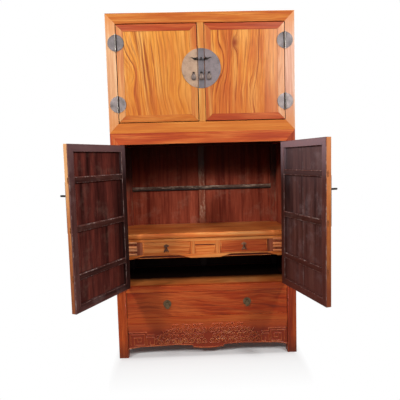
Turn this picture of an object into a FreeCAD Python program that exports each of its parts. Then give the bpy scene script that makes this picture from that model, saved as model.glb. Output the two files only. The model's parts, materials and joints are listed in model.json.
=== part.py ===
import FreeCAD, Part
import os
from types import SimpleNamespace

import Sketcher

# A Chinese compound cabinet: a hat chest standing on a tall two-door cabinet.
# X runs to the right, Y to the back, Z up; the origin is the middle of the base, on the floor.

Vector = FreeCAD.Vector
Rotation = FreeCAD.Rotation

# Driving dimensions, in millimetres; angles are in degrees
DRIVING = {
    # carcass
    "width": 1120,
    "depth": 560,
    "cabinet_height": 1400,
    "chest_height": 700,
    "post": 57,
    "cabinet_rail": 68,
    "chest_rail": 60,
    "floor_level": 452,
    "floor_rail": 36,
    "bottom_drawer_opening": 160,
    "drawer_rail": 42,
    "rail_depth": 40,
    "rail_setback": 2,
    # joints of the carcass
    "tenon": 14,
    "tenon_length": 26,
    "tenon_shoulder": 9,
    "stub_tenon": 12,
    "stub_tenon_width": 18,
    # floating panels
    "panel": 10,
    "tongue": 8,
    "side_panel_inset": 8,
    "back_panel_inset": 22,
    "board": 12,
    "board_drop": 2,
    "lid_drop": 12,
    # back bars
    "muntin": 43,
    "muntin_depth": 30,
    "muntin_inset": 12,
    "batten": 31,
    "batten_depth": 10,
    "batten_level": 1028,
    # aprons under the lowest rails
    "apron": 20,
    "apron_setback": 4,
    "apron_foot": 50,
    "apron_shoulder": 64,
    "apron_crest": 69,
    "apron_lobe_step": 12,
    "apron_lobe": 97,
    "apron_lobe_sag": 8,
    "apron_shoulder_run": 120,
    "apron_shoulder_radius": 420,
    "apron_crest_run": 110,
    "side_apron": 96,
    "side_apron_bracket": 40,
    "side_apron_radius": 60,
    # inner shelf and drawer case
    "shelf_level": 768,
    "shelf_edge": 38,
    "shelf_board": 20,
    "shelf_setback": 106,
    "shelf_nosing": 6,
    "shelf_bead": 14,
    "shelf_cove": 7,
    "case_rail": 16,
    "case_stile": 30,
    "case_frame": 20,
    "case_centre": 132,
    "case_centre_recess": 4,
    "case_apron": 26,
    "case_apron_neck": 6,
    "case_apron_foot": 70,
    "case_apron_curve": 70,
    "case_floor": 10,
    "case_guide": 14,
    "small_drawer_opening": 85,
    "case_end_block": 108,
    "small_drawer_depth": 330,
    # drawers
    "drawer_gap": 1,
    "drawer_rest_gap": 0.3,
    "drawer_front": 18,
    "drawer_wall": 10,
    "drawer_wall_drop": 14,
    "drawer_bottom": 6,
    "drawer_bottom_lift": 6,
    "drawer_groove": 5,
    "small_drawer_inset": 1,
    "bottom_drawer_depth": 440,
    "bottom_drawer_inset": 5,
    "runner": 44,
    "runner_height": 22,
    # doors
    "door": 30,
    "door_side_gap": 2,
    "door_end_gap": 4,
    "door_frame": 40,
    "door_panel": 12,
    "door_panel_recess": 2,
    "door_tongue": 6,
    "door_batten": 34,
    "door_batten_depth": 15,
    "door_batten_spacing": 252,
    "door_batten_tenon": 26,
    "centre_post": 38,
    "centre_post_depth": 40,
    "left_door_angle": 116,
    "right_door_angle": 104.5,
    # hinges
    "hinge_radius": 48,
    "hinge_plate": 2.5,
    "barrel_radius": 6,
    "barrel_clearance": 0.5,
    "knuckle_gap": 0.5,
    "hinge_pin_radius": 2.5,
    "pin_clearance": 0.05,
    "pin_head_radius": 4,
    "pin_head": 3,
    "chest_hinge_inset": 107,
    "cabinet_hinge_inset": 150,
    # lock plates and their lugs
    "lock_plate": 2.5,
    "lock_edge_gap": 1,
    "chest_lock_radius": 117,
    "chest_lock_level": 1774,
    "chest_lug_rise": 54,
    "cabinet_lock_radius": 130,
    "cabinet_lock_level": 1006,
    "cabinet_lug_rise": 60,
    "lug_width": 7,
    "lug_length": 34,
    "lug_height": 10,
    "lug_eye_radius": 2.5,
    "lug_edge_offset": 4.5,
    "pendant_drop": 25,
    "pendant_spacing": 46,
    # hanging pulls
    "staple_radius": 1.5,
    "staple_leg": 2.5,
    "staple_reach": 6,
    "pendant_eye_radius": 4,
    "pendant_eye_width": 8,
    "pendant_play": 1,
    "pendant": 4,
    "lock_pendant_width": 30,
    "lock_pendant_length": 46,
    "small_rose_radius": 11,
    "small_pull_width": 13,
    "small_pull_length": 34,
    "small_pull_rise": 14,
    "bottom_rose_radius": 25,
    "bottom_rose_rise": 4,
    "bottom_pull_width": 28,
    "bottom_pull_length": 36,
    "bottom_pull_rise": 10,
    "bottom_pull_spacing": 500,
    "rose": 2,
}


class Size:
    """A number that carries the sheet expression it comes from."""

    def __init__(self, value, text):
        self.value = value
        self.text = text

    def combine(self, other, sign, value):
        return Size(value, f"({self.text} {sign} {as_size(other).text})")

    def __add__(self, other):
        return self.combine(other, "+", self.value + as_size(other).value)

    def __sub__(self, other):
        return self.combine(other, "-", self.value - as_size(other).value)

    def __mul__(self, factor):
        return self.combine(factor, "*", self.value * factor)

    def __truediv__(self, factor):
        return self.combine(factor, "/", self.value / factor)

    def __neg__(self):
        return self * -1


def as_size(number):
    """Give a plain number the same form as a size from the sheet."""
    if isinstance(number, Size):
        return number
    return Size(number, f"{number}")


doc = FreeCAD.newDocument("CompoundCabinet")
sheet = doc.addObject("Spreadsheet::Sheet", "Sizes")
for row, (alias, number) in enumerate(DRIVING.items(), start=1):
    sheet.set(f"A{row}", alias)
    sheet.set(f"B{row}", str(number))
    sheet.setAlias(f"B{row}", alias)
doc.recompute()

s = SimpleNamespace(**{name: Size(float(sheet.get(name)), f"Sizes.{name}") for name in DRIVING})
ZERO = as_size(0)
LEFT, RIGHT = -1, 1
NODES = []


def bind(feature, path, size):
    """Tie one property of a feature to the sheet."""
    feature.setExpression(path, as_size(size).text)


def span(side, low, high):
    """A range measured outwards from the middle, on the left or on the right."""
    if side == RIGHT:
        return (as_size(low), as_size(high))
    return (-as_size(high), -as_size(low))


def middle(low, high, width):
    """A range of the given width, centred between two places."""
    centre = (low + high) / 2
    return (centre - width / 2, centre + width / 2)


# Solids

def box(name, x, y, z):
    """A board from its range along each axis."""
    feature = doc.addObject("Part::Box", name)
    for path, letter, (low, high) in zip(("Length", "Width", "Height"), "xyz", (x, y, z)):
        bind(feature, path, high - low)
        bind(feature, "Placement.Base." + letter, low)
    return feature


TURNS = {
    "x": Rotation(Vector(0, 0, 1), Vector(1, 0, 0)),
    "y": Rotation(Vector(0, 0, 1), Vector(0, 1, 0)),
    "z": Rotation(),
}


def cylinder(name, axis, start, radius, length):
    """A round bar or disc along an axis, from the centre of its first face."""
    feature = doc.addObject("Part::Cylinder", name)
    feature.Placement = FreeCAD.Placement(Vector(), TURNS[axis])
    bind(feature, "Radius", radius)
    bind(feature, "Height", length)
    for letter, place in zip("xyz", start):
        bind(feature, "Placement.Base." + letter, place)
    return feature


# Each direction of taper: its turn, and the axis and sense that the wedge's X, Y and Z take
TAPERS = {
    "+x": (Rotation(Vector(0, 0, 1), -90), ("y", -1), ("x", 1), ("z", 1)),
    "-x": (Rotation(Vector(0, 0, 1), 90), ("y", 1), ("x", -1), ("z", 1)),
    "+y": (Rotation(), ("x", 1), ("y", 1), ("z", 1)),
    "-y": (Rotation(Vector(0, 0, 1), 180), ("x", -1), ("y", -1), ("z", 1)),
    "+z": (Rotation(Vector(1, 0, 0), 90), ("x", 1), ("z", 1), ("y", -1)),
    "-z": (Rotation(Vector(1, 0, 0), -90), ("x", 1), ("z", -1), ("y", 1)),
}


def wedge(name, direction, along, base, tip):
    """A block that narrows from one rectangle to another, or to a point, along a direction."""
    feature = doc.addObject("Part::Wedge", name)
    turn, across, run, rise = TAPERS[direction]
    feature.Placement = FreeCAD.Placement(Vector(), turn)
    for path, place in zip(("Ymin", "Ymax"), along):
        bind(feature, path, place * run[1])
    for letter, (axis, sense) in (("X", across), ("Z", rise)):
        for prefix, face in ((letter, base), (letter + "2", tip)):
            low, high = face[axis] if sense > 0 else (-face[axis][1], -face[axis][0])
            bind(feature, prefix + "min", low)
            bind(feature, prefix + "max", high)
    return feature


def fuse(name, shapes):
    """One solid from touching or crossing shapes."""
    feature = doc.addObject("Part::MultiFuse", name)
    feature.Shapes = shapes
    feature.Refine = True
    return feature


def group(name, shapes):
    """Several shapes held together without joining them."""
    feature = doc.addObject("Part::Compound", name)
    feature.Links = shapes
    return feature


def carve(name, shape, tools):
    """A shape less the tools that are let into it."""
    feature = doc.addObject("Part::Cut", name)
    feature.Base = shape
    feature.Tool = tools[0] if len(tools) == 1 else group(name + "_tools", tools)
    return feature


def common(name, shape, limit):
    """The part of a shape that lies within a limit."""
    feature = doc.addObject("Part::Common", name)
    feature.Base = shape
    feature.Tool = limit
    return feature


def profile(name, plane, outline, length, radii=None):
    """A body padded from a closed outline; radii gives the arcs, by the place of their first point."""
    radii = radii or {}
    body = doc.addObject("PartDesign::Body", name)
    origin_plane = next(item for item in body.Origin.OriginFeatures if item.Role == plane)
    sketch = body.newObject("Sketcher::SketchObject", name + "_outline")
    sketch.AttachmentSupport = (origin_plane, [""])
    sketch.MapMode = "FlatFace"
    corners = [Vector(across.value, up.value, 0) for across, up in outline]
    count = len(corners)
    for place, corner in enumerate(corners):
        following = corners[(place + 1) % count]
        if place in radii:
            sketch.addGeometry(arc_between(corner, following, radii[place].value))
        else:
            sketch.addGeometry(Part.LineSegment(corner, following))
    for place in range(count):
        following = (place + 1) % count
        ends = [arc_ends(radii, place)[1], arc_ends(radii, following)[0]]
        sketch.addConstraint(Sketcher.Constraint("Coincident", place, ends[0], following, ends[1]))
    for place, point in enumerate(outline):
        first = arc_ends(radii, place)[0]
        for kind, size in zip(("DistanceX", "DistanceY"), point):
            number = sketch.addConstraint(Sketcher.Constraint(kind, -1, 1, place, first, size.value))
            sketch.setExpression(f"Constraints[{number}]", size.text)
    for place, radius in radii.items():
        bent = abs(radius.value)
        number = sketch.addConstraint(Sketcher.Constraint("Radius", place, bent))
        sketch.setExpression(f"Constraints[{number}]", f"abs({radius.text})")
    pad = body.newObject("PartDesign::Pad", name + "_pad")
    pad.Profile = sketch
    pad.Reversed = plane == "XZ_Plane"
    bind(pad, "Length", length)
    return body


def arc_between(first, last, radius):
    """An arc between two points; a positive radius bows to the left of the way from first to last."""
    chord = last - first
    left = Vector(-chord.y, chord.x, 0).normalize()
    half = chord.Length / 2
    sag = abs(radius) - (radius * radius - half * half) ** 0.5
    bow = left * (sag if radius > 0 else -sag)
    return Part.Arc(first, (first + last) * 0.5 + bow, last)


def arc_ends(radii, place):
    """The sketch's own numbers for an edge's first and last point: arcs run anticlockwise."""
    if place in radii and radii[place].value > 0:
        return (2, 1)
    return (1, 2)


def put(feature, x=ZERO, y=ZERO, z=ZERO):
    """Move a feature to its place."""
    for letter, place in zip("xyz", (x, y, z)):
        bind(feature, "Placement.Base." + letter, place)
    return feature


def node(label, shapes, tools=(), frame=None):
    """Finish a sub-part: its solids, less what is let into them, carried by a door's frame if given."""
    shape = shapes[0] if len(shapes) == 1 and not frame else group(label + "_solids", shapes)
    if tools:
        shape = carve(label + "_cut", shape, list(tools))
    if frame:
        put(shape, frame.x, frame.y, frame.z)
        if frame.angle:
            shape.Placement.Rotation = Rotation(Vector(0, 0, 1), frame.angle.value)
            bind(shape, "Placement.Rotation.Angle", frame.angle)
    shape.Label = label
    NODES.append(shape)
    return shape


# Places that many pieces share

half = s.width / 2
inner = half - s.post
front = -(s.depth / 2)
back = s.depth / 2
front_post = (front, front + s.post)
back_post = (back - s.post, back)
between_posts = (-inner, inner)
between_depth = (front + s.post, back - s.post)

cabinet_top = s.cabinet_height
cabinet_rail_low = cabinet_top - s.cabinet_rail
floor_rail_low = s.floor_level - s.floor_rail
drawer_rail_top = floor_rail_low - s.bottom_drawer_opening
drawer_rail_low = drawer_rail_top - s.drawer_rail
chest_top = cabinet_top + s.chest_height
chest_low = cabinet_top + s.chest_rail
chest_high = chest_top - s.chest_rail

front_rail_y = (front + s.rail_setback, front + s.rail_setback + s.rail_depth)
back_rail_y = (back - s.rail_setback - s.rail_depth, back - s.rail_setback)
side_panel_out = half - s.side_panel_inset
side_panel_in = side_panel_out - s.panel
back_panel_y = (back - s.back_panel_inset - s.panel, back - s.back_panel_inset)


def mitred_beam(name, axis, run, section, tips):
    """A frame member whose ends run to a point at the corner, where three members meet in mitres."""
    ranges = {**section, axis: run}
    shapes = [box(name + "_bar", *(ranges[letter] for letter in "xyz"))]
    for sense, reach, point in tips:
        start = run[1] if sense == "+" else run[0]
        tip = {letter: (place, place) for letter, place in point.items()}
        shapes.append(wedge(name + "_mitre", sense + axis, (start, reach), section, tip))
    return fuse(name, shapes)


def cross_rail(name, y, z):
    """A rail from post to post across the cabinet, and the tenon bar through it."""
    tenon = box(
        name + "_tenon",
        (-inner - s.tenon_length, inner + s.tenon_length),
        middle(*y, s.tenon),
        (z[0] + s.tenon_shoulder, z[1] - s.tenon_shoulder),
    )
    return fuse(name, [box(name + "_bar", between_posts, y, z), tenon]), tenon


def side_rail(name, side, z):
    """A rail from the front post to the back post, and the tenon bar through it."""
    x = span(side, half - s.rail_setback - s.rail_depth, half - s.rail_setback)
    tenon = box(
        name + "_tenon",
        middle(*x, s.tenon),
        (between_depth[0] - s.tenon_length, between_depth[1] + s.tenon_length),
        (z[0] + s.tenon_shoulder, z[1] - s.tenon_shoulder),
    )
    return fuse(name, [box(name + "_bar", x, between_depth, z), tenon]), tenon


def upright(name, x, y, z):
    """An upright bar between two rails, with a stub tenon at each end, and that tenon."""
    tenon = box(
        name + "_tenon",
        middle(*x, s.stub_tenon_width),
        middle(*y, s.tenon),
        (z[0] - s.stub_tenon, z[1] + s.stub_tenon),
    )
    return fuse(name, [box(name + "_bar", x, y, z), tenon]), tenon


def frame_rails(prefix, low, high, outer):
    """Front, back and side rails of a mitred frame whose outer edge lies at the level outer."""
    rails = {}
    level = {"z": (low, high)}
    for name, y, edge in (("front", front_post, front), ("back", back_post, back)):
        tips = [
            ("-", -half, {"y": edge, "z": outer}),
            ("+", half, {"y": edge, "z": outer}),
        ]
        rails[name] = mitred_beam(f"{prefix}_{name}", "x", between_posts, {"y": y, **level}, tips)
    for name, side in (("left", LEFT), ("right", RIGHT)):
        tips = [
            ("-", front, {"x": half * side, "z": outer}),
            ("+", back, {"x": half * side, "z": outer}),
        ]
        section = {"x": span(side, inner, half), **level}
        rails[name] = mitred_beam(f"{prefix}_{name}", "y", between_depth, section, tips)
    return rails


def corner_posts(prefix, run, ends):
    """Four posts; ends lists the mitred ends as a sense and the level that they reach."""
    posts = []
    for y, edge in ((front_post, front), (back_post, back)):
        for side in (LEFT, RIGHT):
            tips = [(sense, reach, {"x": half * side, "y": edge}) for sense, reach in ends]
            section = {"x": span(side, inner, half), "y": y}
            posts.append(mitred_beam(prefix, "z", run, section, tips))
    return posts


def back_wall(prefix, low, high):
    """Two back panels and the muntin between them, with the muntin's tenon."""
    panels = []
    for side in (LEFT, RIGHT):
        x = span(side, s.muntin / 2 - s.tongue, inner + s.tongue)
        panels.append(box(prefix + "_panel", x, back_panel_y, (low - s.tongue, high + s.tongue)))
    muntin_y = (back - s.muntin_inset - s.muntin_depth, back - s.muntin_inset)
    muntin, tenon = upright(prefix + "_muntin", middle(ZERO, ZERO, s.muntin), muntin_y, (low, high))
    return panels, muntin, tenon


def side_panels(prefix, low, high):
    """The two side panels between the given levels, tongues included."""
    y = (between_depth[0] - s.tongue, between_depth[1] + s.tongue)
    z = (low - s.tongue, high + s.tongue)
    return [box(prefix, span(side, side_panel_in, side_panel_out), y, z) for side in (LEFT, RIGHT)]


def frame_board(name, z):
    """A board let into the four rails of a mitred frame."""
    x = (-inner - s.tongue, inner + s.tongue)
    y = (between_depth[0] - s.tongue, between_depth[1] + s.tongue)
    return box(name, x, y, z)


# Lower cabinet

def build_cabinet():
    posts = corner_posts("cabinet_post", (ZERO, cabinet_rail_low), [("+", cabinet_top)])
    top = frame_rails("cabinet_top", cabinet_rail_low, cabinet_top, cabinet_top)
    floor_z = (floor_rail_low, s.floor_level)
    drawer_z = (drawer_rail_low, drawer_rail_top)
    tenons = []
    rails = {"front": [top["front"]], "back": [top["back"]], "side": [top["left"], top["right"]]}
    for level, z in (("floor", floor_z), ("drawer", drawer_z)):
        for place, y in (("front", front_rail_y), ("back", back_rail_y)):
            rail, tenon = cross_rail(f"cabinet_{place}_{level}_rail", y, z)
            rails[place].append(rail)
            tenons.append(tenon)
        for side in (LEFT, RIGHT):
            rail, tenon = side_rail(f"cabinet_side_{level}_rail", side, z)
            rails["side"].append(rail)
            tenons.append(tenon)

    upper_sides = side_panels("cabinet_side_panel", s.floor_level, cabinet_rail_low)
    lower_sides = side_panels("drawer_side_panel", drawer_rail_top, floor_rail_low)
    back_panels, muntin, muntin_tenon = back_wall("cabinet_back", s.floor_level, cabinet_rail_low)
    lower_back = box(
        "drawer_back_panel",
        (-inner - s.tongue, inner + s.tongue),
        back_panel_y,
        (drawer_rail_top - s.tongue, floor_rail_low + s.tongue),
    )
    lid = frame_board("cabinet_lid", (cabinet_top - s.lid_drop - s.board, cabinet_top - s.lid_drop))
    rail_in = half - s.rail_setback - s.rail_depth
    floor = box(
        "cabinet_floor",
        (-rail_in - s.tongue, rail_in + s.tongue),
        (front_rail_y[1] - s.tongue, back_rail_y[0] + s.tongue),
        (s.floor_level - s.board_drop - s.board, s.floor_level - s.board_drop),
    )
    walls = upper_sides + lower_sides + back_panels + [lower_back]
    battens = []
    for side in (LEFT, RIGHT):
        battens.append(box(
            "back_batten",
            span(side, s.muntin / 2, inner),
            (back_panel_y[0] - s.batten_depth, back_panel_y[0]),
            (s.batten_level - s.batten / 2, s.batten_level + s.batten / 2),
        ))

    node("lower_posts", posts, tenons + walls + [lid])
    node("lower_front_rails", rails["front"], [floor, lid])
    side_tools = upper_sides + lower_sides + [floor, lid]
    back_tools = back_panels + [lower_back, muntin_tenon, floor, lid]
    node("lower_side_and_back_rails", rails["side"] + rails["back"], side_tools + back_tools[:-2])
    node("lower_top_panel", [lid])
    node("lower_floor_panel", [floor], posts)
    node("lower_side_panels", upper_sides + lower_sides)
    node("lower_back_panels", back_panels + [lower_back])
    node("lower_back_muntin_and_battens", [muntin] + battens, back_panels)
    return posts + [muntin]


def build_aprons():
    """Boards under the lowest rails: a shaped one in front and a bracketed one on each side."""
    crest = s.apron_lobe + s.apron_crest_run
    shoulder = inner - s.apron_shoulder_run
    edge = [
        (inner, s.apron_foot),
        (shoulder, s.apron_shoulder),
        (crest, s.apron_crest),
        (s.apron_lobe, s.apron_shoulder),
        (s.apron_lobe, s.apron_shoulder - s.apron_lobe_step),
    ]
    mirrored = [(-across, up) for across, up in reversed(edge)]
    outline = [(-inner, drawer_rail_low), (inner, drawer_rail_low)] + edge + mirrored
    lobe = lobe_radius(s.apron_lobe, s.apron_lobe_sag)
    last = len(edge) + 1
    radii = {2: -s.apron_shoulder_radius, last: lobe, last + 4: -s.apron_shoulder_radius}
    front_apron = profile("front_apron_board", "XZ_Plane", outline, s.apron, radii)
    node("front_apron", [put(front_apron, y=front + s.apron_setback)])

    low = drawer_rail_low - s.side_apron
    foot = low - s.side_apron_bracket
    y0, y1 = between_depth
    bracket = s.side_apron_bracket
    side_outline = [
        (y0, foot),
        (y0 + bracket, low),
        (y1 - bracket, low),
        (y1, foot),
        (y1, drawer_rail_low),
        (y0, drawer_rail_low),
    ]
    bends = {0: s.side_apron_radius, 2: s.side_apron_radius}
    boards = []
    for side in (LEFT, RIGHT):
        board = profile("side_apron_board", "YZ_Plane", side_outline, s.apron, bends)
        x = span(side, half - s.apron_setback - s.apron, half - s.apron_setback)
        boards.append(put(board, x=x[0]))
    node("side_aprons", boards)


def lobe_radius(half_chord, sag):
    """The radius of an arc from half its chord and its rise."""
    value = (half_chord.value ** 2 + sag.value ** 2) / (2 * sag.value)
    return Size(value, f"(({half_chord.text} ^ 2 + {sag.text} ^ 2) / (2 * {sag.text}))")


# Hat chest

def build_chest():
    posts = corner_posts("chest_post", (chest_low, chest_high), [("-", cabinet_top), ("+", chest_top)])
    bottom = frame_rails("chest_bottom", cabinet_top, chest_low, cabinet_top)
    top = frame_rails("chest_top", chest_high, chest_top, chest_top)
    sides = side_panels("chest_side_panel", chest_low, chest_high)
    panels, muntin, muntin_tenon = back_wall("chest_back", chest_low, chest_high)
    centre_y = (front, front + s.centre_post_depth)
    centre, centre_tenon = upright(
        "chest_centre_bar", middle(ZERO, ZERO, s.centre_post), centre_y, (chest_low, chest_high))
    lid = frame_board("chest_lid", (chest_top - s.tongue - s.board, chest_top - s.tongue))
    floor = frame_board("chest_floor", (chest_low - s.board - s.tongue, chest_low - s.tongue))

    node("hat_chest_posts", posts, sides + panels + [lid, floor])
    node("hat_chest_front_rails", [bottom["front"], top["front"]], [centre_tenon, lid, floor])
    others = [frame[place] for frame in (bottom, top) for place in ("left", "right", "back")]
    node("hat_chest_side_and_back_rails", others, sides + panels + [muntin_tenon, lid, floor])
    node("hat_chest_top_and_floor_panels", [lid, floor])
    node("hat_chest_side_panels", sides)
    node("hat_chest_back_panels", panels)
    node("hat_chest_back_muntin", [muntin], panels)
    node("hat_chest_centre_post", [centre])


# Hanging pulls: a staple holds a cross bar, and a drop swings on the bar

def staple(name, x, face, z):
    """Two legs out of a plate and the round bar between them."""
    reach = face - s.staple_reach
    leg_gap = s.pendant_eye_width / 2 + s.pendant_play
    shapes = []
    for side in (LEFT, RIGHT):
        low, high = span(side, leg_gap, leg_gap + s.staple_leg)
        leg_y = (reach - s.staple_radius, face)
        leg_z = (z - s.staple_radius, z + s.staple_radius)
        shapes.append(box(name + "_leg", (x + low, x + high), leg_y, leg_z))
    shapes.append(cylinder(name + "_bar", "x", (x - leg_gap, reach, z), s.staple_radius, leg_gap * 2))
    return fuse(name, shapes)


def pendant(label, x, face, z, width, length, frame=None):
    """A flat drop, widest near its foot, with an eye for the staple's bar."""
    y = face - s.staple_reach
    plate_y = (y - s.pendant / 2, y + s.pendant / 2)
    belly = z - length + width / 2
    shapes = [
        cylinder(label + "_belly", "y", (x, plate_y[0], belly), width / 2, s.pendant),
        wedge(
            label + "_taper", "+z", (belly, z),
            {"x": (x - width / 2, x + width / 2), "y": plate_y},
            {"x": (x - s.pendant_eye_width / 2, x + s.pendant_eye_width / 2), "y": plate_y},
        ),
        cylinder(
            label + "_eye", "x", (x - s.pendant_eye_width / 2, y, z),
            s.pendant_eye_radius, s.pendant_eye_width,
        ),
    ]
    bore = cylinder(
        label + "_bore", "x", (x - s.pendant_eye_width, y, z),
        s.staple_radius + s.pin_clearance, s.pendant_eye_width * 2,
    )
    node(label, [carve(label + "_drop", fuse(label + "_blank", shapes), [bore])], frame=frame)


def lug(name, x, face, z):
    """A tongue with an eye, which takes the bar of a padlock."""
    eye_y = face - s.lug_length + s.lug_height / 2
    x_range = (x - s.lug_width / 2, x + s.lug_width / 2)
    shapes = [
        box(name + "_shank", x_range, (eye_y, face), (z - s.lug_height / 2, z + s.lug_height / 2)),
        cylinder(name + "_nose", "x", (x_range[0], eye_y, z), s.lug_height / 2, s.lug_width),
    ]
    eye = cylinder(name + "_eye", "x", (x - s.lug_width, eye_y, z), s.lug_eye_radius, s.lug_width * 2)
    return carve(name, fuse(name + "_blank", shapes), [eye])


# Doors, each drawn in its own frame with the hinge axis at X = 0, Y = 0 and its foot at Z = 0

barrel_front = s.barrel_radius + s.barrel_clearance
axis_y = front - barrel_front
axis_x = inner - s.door_side_gap / 2


def hinge_leaf(name, side, x, y, z, knuckles):
    """A half round plate on one side of the axis, with its knuckles and the bore for the pin."""
    face = y + barrel_front
    reach = s.barrel_radius + s.knuckle_gap
    plate_y = (face - s.hinge_plate, face)
    low, high = span(side, reach, s.hinge_radius)
    limit = box(name + "_limit", (x + low, x + high), plate_y, (z - s.hinge_radius, z + s.hinge_radius))
    disc = cylinder(name + "_disc", "y", (x, plate_y[0], z), s.hinge_radius, s.hinge_plate)
    shapes = [common(name + "_plate", disc, limit)]
    for foot, top in knuckles:
        shapes.append(cylinder(name + "_knuckle", "z", (x, y, z + foot), s.barrel_radius, top - foot))
        web_low, web_high = span(side, ZERO, reach + s.hinge_plate)
        shapes.append(box(name + "_web", (x + web_low, x + web_high), plate_y, (z + foot, z + top)))
    bore = cylinder(
        name + "_bore", "z", (x, y, z - s.hinge_radius * 2),
        s.hinge_pin_radius + s.pin_clearance, s.hinge_radius * 4,
    )
    return carve(name, fuse(name + "_blank", shapes), [bore])


third = s.hinge_radius / 3
DOOR_KNUCKLES = [(-third + s.knuckle_gap / 2, third - s.knuckle_gap / 2)]
POST_KNUCKLES = [
    (-s.hinge_radius, -third - s.knuckle_gap / 2),
    (third + s.knuckle_gap / 2, s.hinge_radius),
]


def hinge_pin(x, z):
    """A pin with a head at each end."""
    ends = s.hinge_radius
    shapes = [
        cylinder("pin_shank", "z", (x, axis_y, z - ends), s.hinge_pin_radius, ends * 2),
        cylinder("pin_foot", "z", (x, axis_y, z - ends - s.pin_head), s.pin_head_radius, s.pin_head),
        cylinder("pin_head_disc", "z", (x, axis_y, z + ends), s.pin_head_radius, s.pin_head),
    ]
    return fuse("pin", shapes)


def door_frame(name, side, width, height):
    """The four mitred members of a door and the lines that its panel and battens are set to."""
    x0 = s.door_side_gap / 2
    x1 = x0 + width
    y = (barrel_front, barrel_front + s.door)
    inside = (x0 + s.door_frame, x1 - s.door_frame)
    upright_z = {"outer": (ZERO, height), "inner": (s.door_frame, height - s.door_frame)}
    members = []
    for start, end, sense in ((x0, inside[0], 1), (x1, inside[1], -1)):
        direction = "+x" if sense * -side > 0 else "-x"
        along = (start * -side, end * -side)
        members.append(wedge(
            name + "_stile", direction, along,
            {"y": y, "z": upright_z["outer"]}, {"y": y, "z": upright_z["inner"]},
        ))
    for start, end, direction in (
        (ZERO, s.door_frame, "+z"),
        (height, height - s.door_frame, "-z"),
    ):
        members.append(wedge(
            name + "_rail", direction, (start, end),
            {"x": span(-side, x0, x1), "y": y}, {"x": span(-side, *inside), "y": y},
        ))
    return members, (x0, x1), inside, y


def build_door(name, side, width, bottom, height, battens, hinge_inset, lock, angle=None):
    """A framed door with its panel, battens, hinge leaves, lock plate, lug and pendant."""
    frame = SimpleNamespace(x=axis_x * side, y=axis_y, z=bottom, angle=angle)
    members, (x0, x1), inside, y = door_frame(name, side, width, height)
    panel_y = (y[0] + s.door_panel_recess, y[0] + s.door_panel_recess + s.door_panel)
    panel = box(
        name + "_panel_board",
        span(-side, inside[0] - s.door_tongue, inside[1] + s.door_tongue),
        panel_y,
        (s.door_frame - s.door_tongue, height - s.door_frame + s.door_tongue),
    )
    bars = []
    for number in range(1, battens + 1):
        level = height / 2 + s.door_batten_spacing * (number - (battens + 1) / 2)
        bars.append(box(
            name + "_batten",
            span(-side, inside[0] - s.door_batten_tenon, x1),
            (panel_y[1], panel_y[1] + s.door_batten_depth),
            (level - s.door_batten / 2, level + s.door_batten / 2),
        ))
    node(name + "_frame", members, [panel] + bars, frame)
    node(name + "_panel_and_battens", [panel] + bars, frame=frame)

    leaves = []
    for level in (hinge_inset, height - hinge_inset):
        leaves.append(hinge_leaf(name + "_leaf", -side, ZERO, ZERO, level, DOOR_KNUCKLES))
    node(name + "_hinge_leaves", leaves, frame=frame)

    plate_y = (y[0] - s.lock_plate, y[0])
    level = lock.level - bottom
    middle_line = axis_x * -side
    disc = cylinder(name + "_lock_disc", "y", (middle_line, plate_y[0], level), lock.radius, s.lock_plate)
    limit = box(
        name + "_lock_limit",
        span(-side, axis_x - lock.radius, x1 - s.lock_edge_gap),
        plate_y,
        (level - lock.radius, level + lock.radius),
    )
    lug_x = (x1 - s.lug_edge_offset) * -side
    pendant_x = (axis_x - s.pendant_spacing) * -side
    pendant_z = level - s.pendant_drop
    hardware = [
        common(name + "_lock_half", disc, limit),
        lug(name + "_lug", lug_x, plate_y[0], level + lock.lug_rise),
        staple(name + "_staple", pendant_x, plate_y[0], pendant_z),
    ]
    node(name + "_lock_plate", hardware, frame=frame)
    pendant(
        name + "_pendant", pendant_x, plate_y[0], pendant_z,
        s.lock_pendant_width, s.lock_pendant_length, frame,
    )


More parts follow.
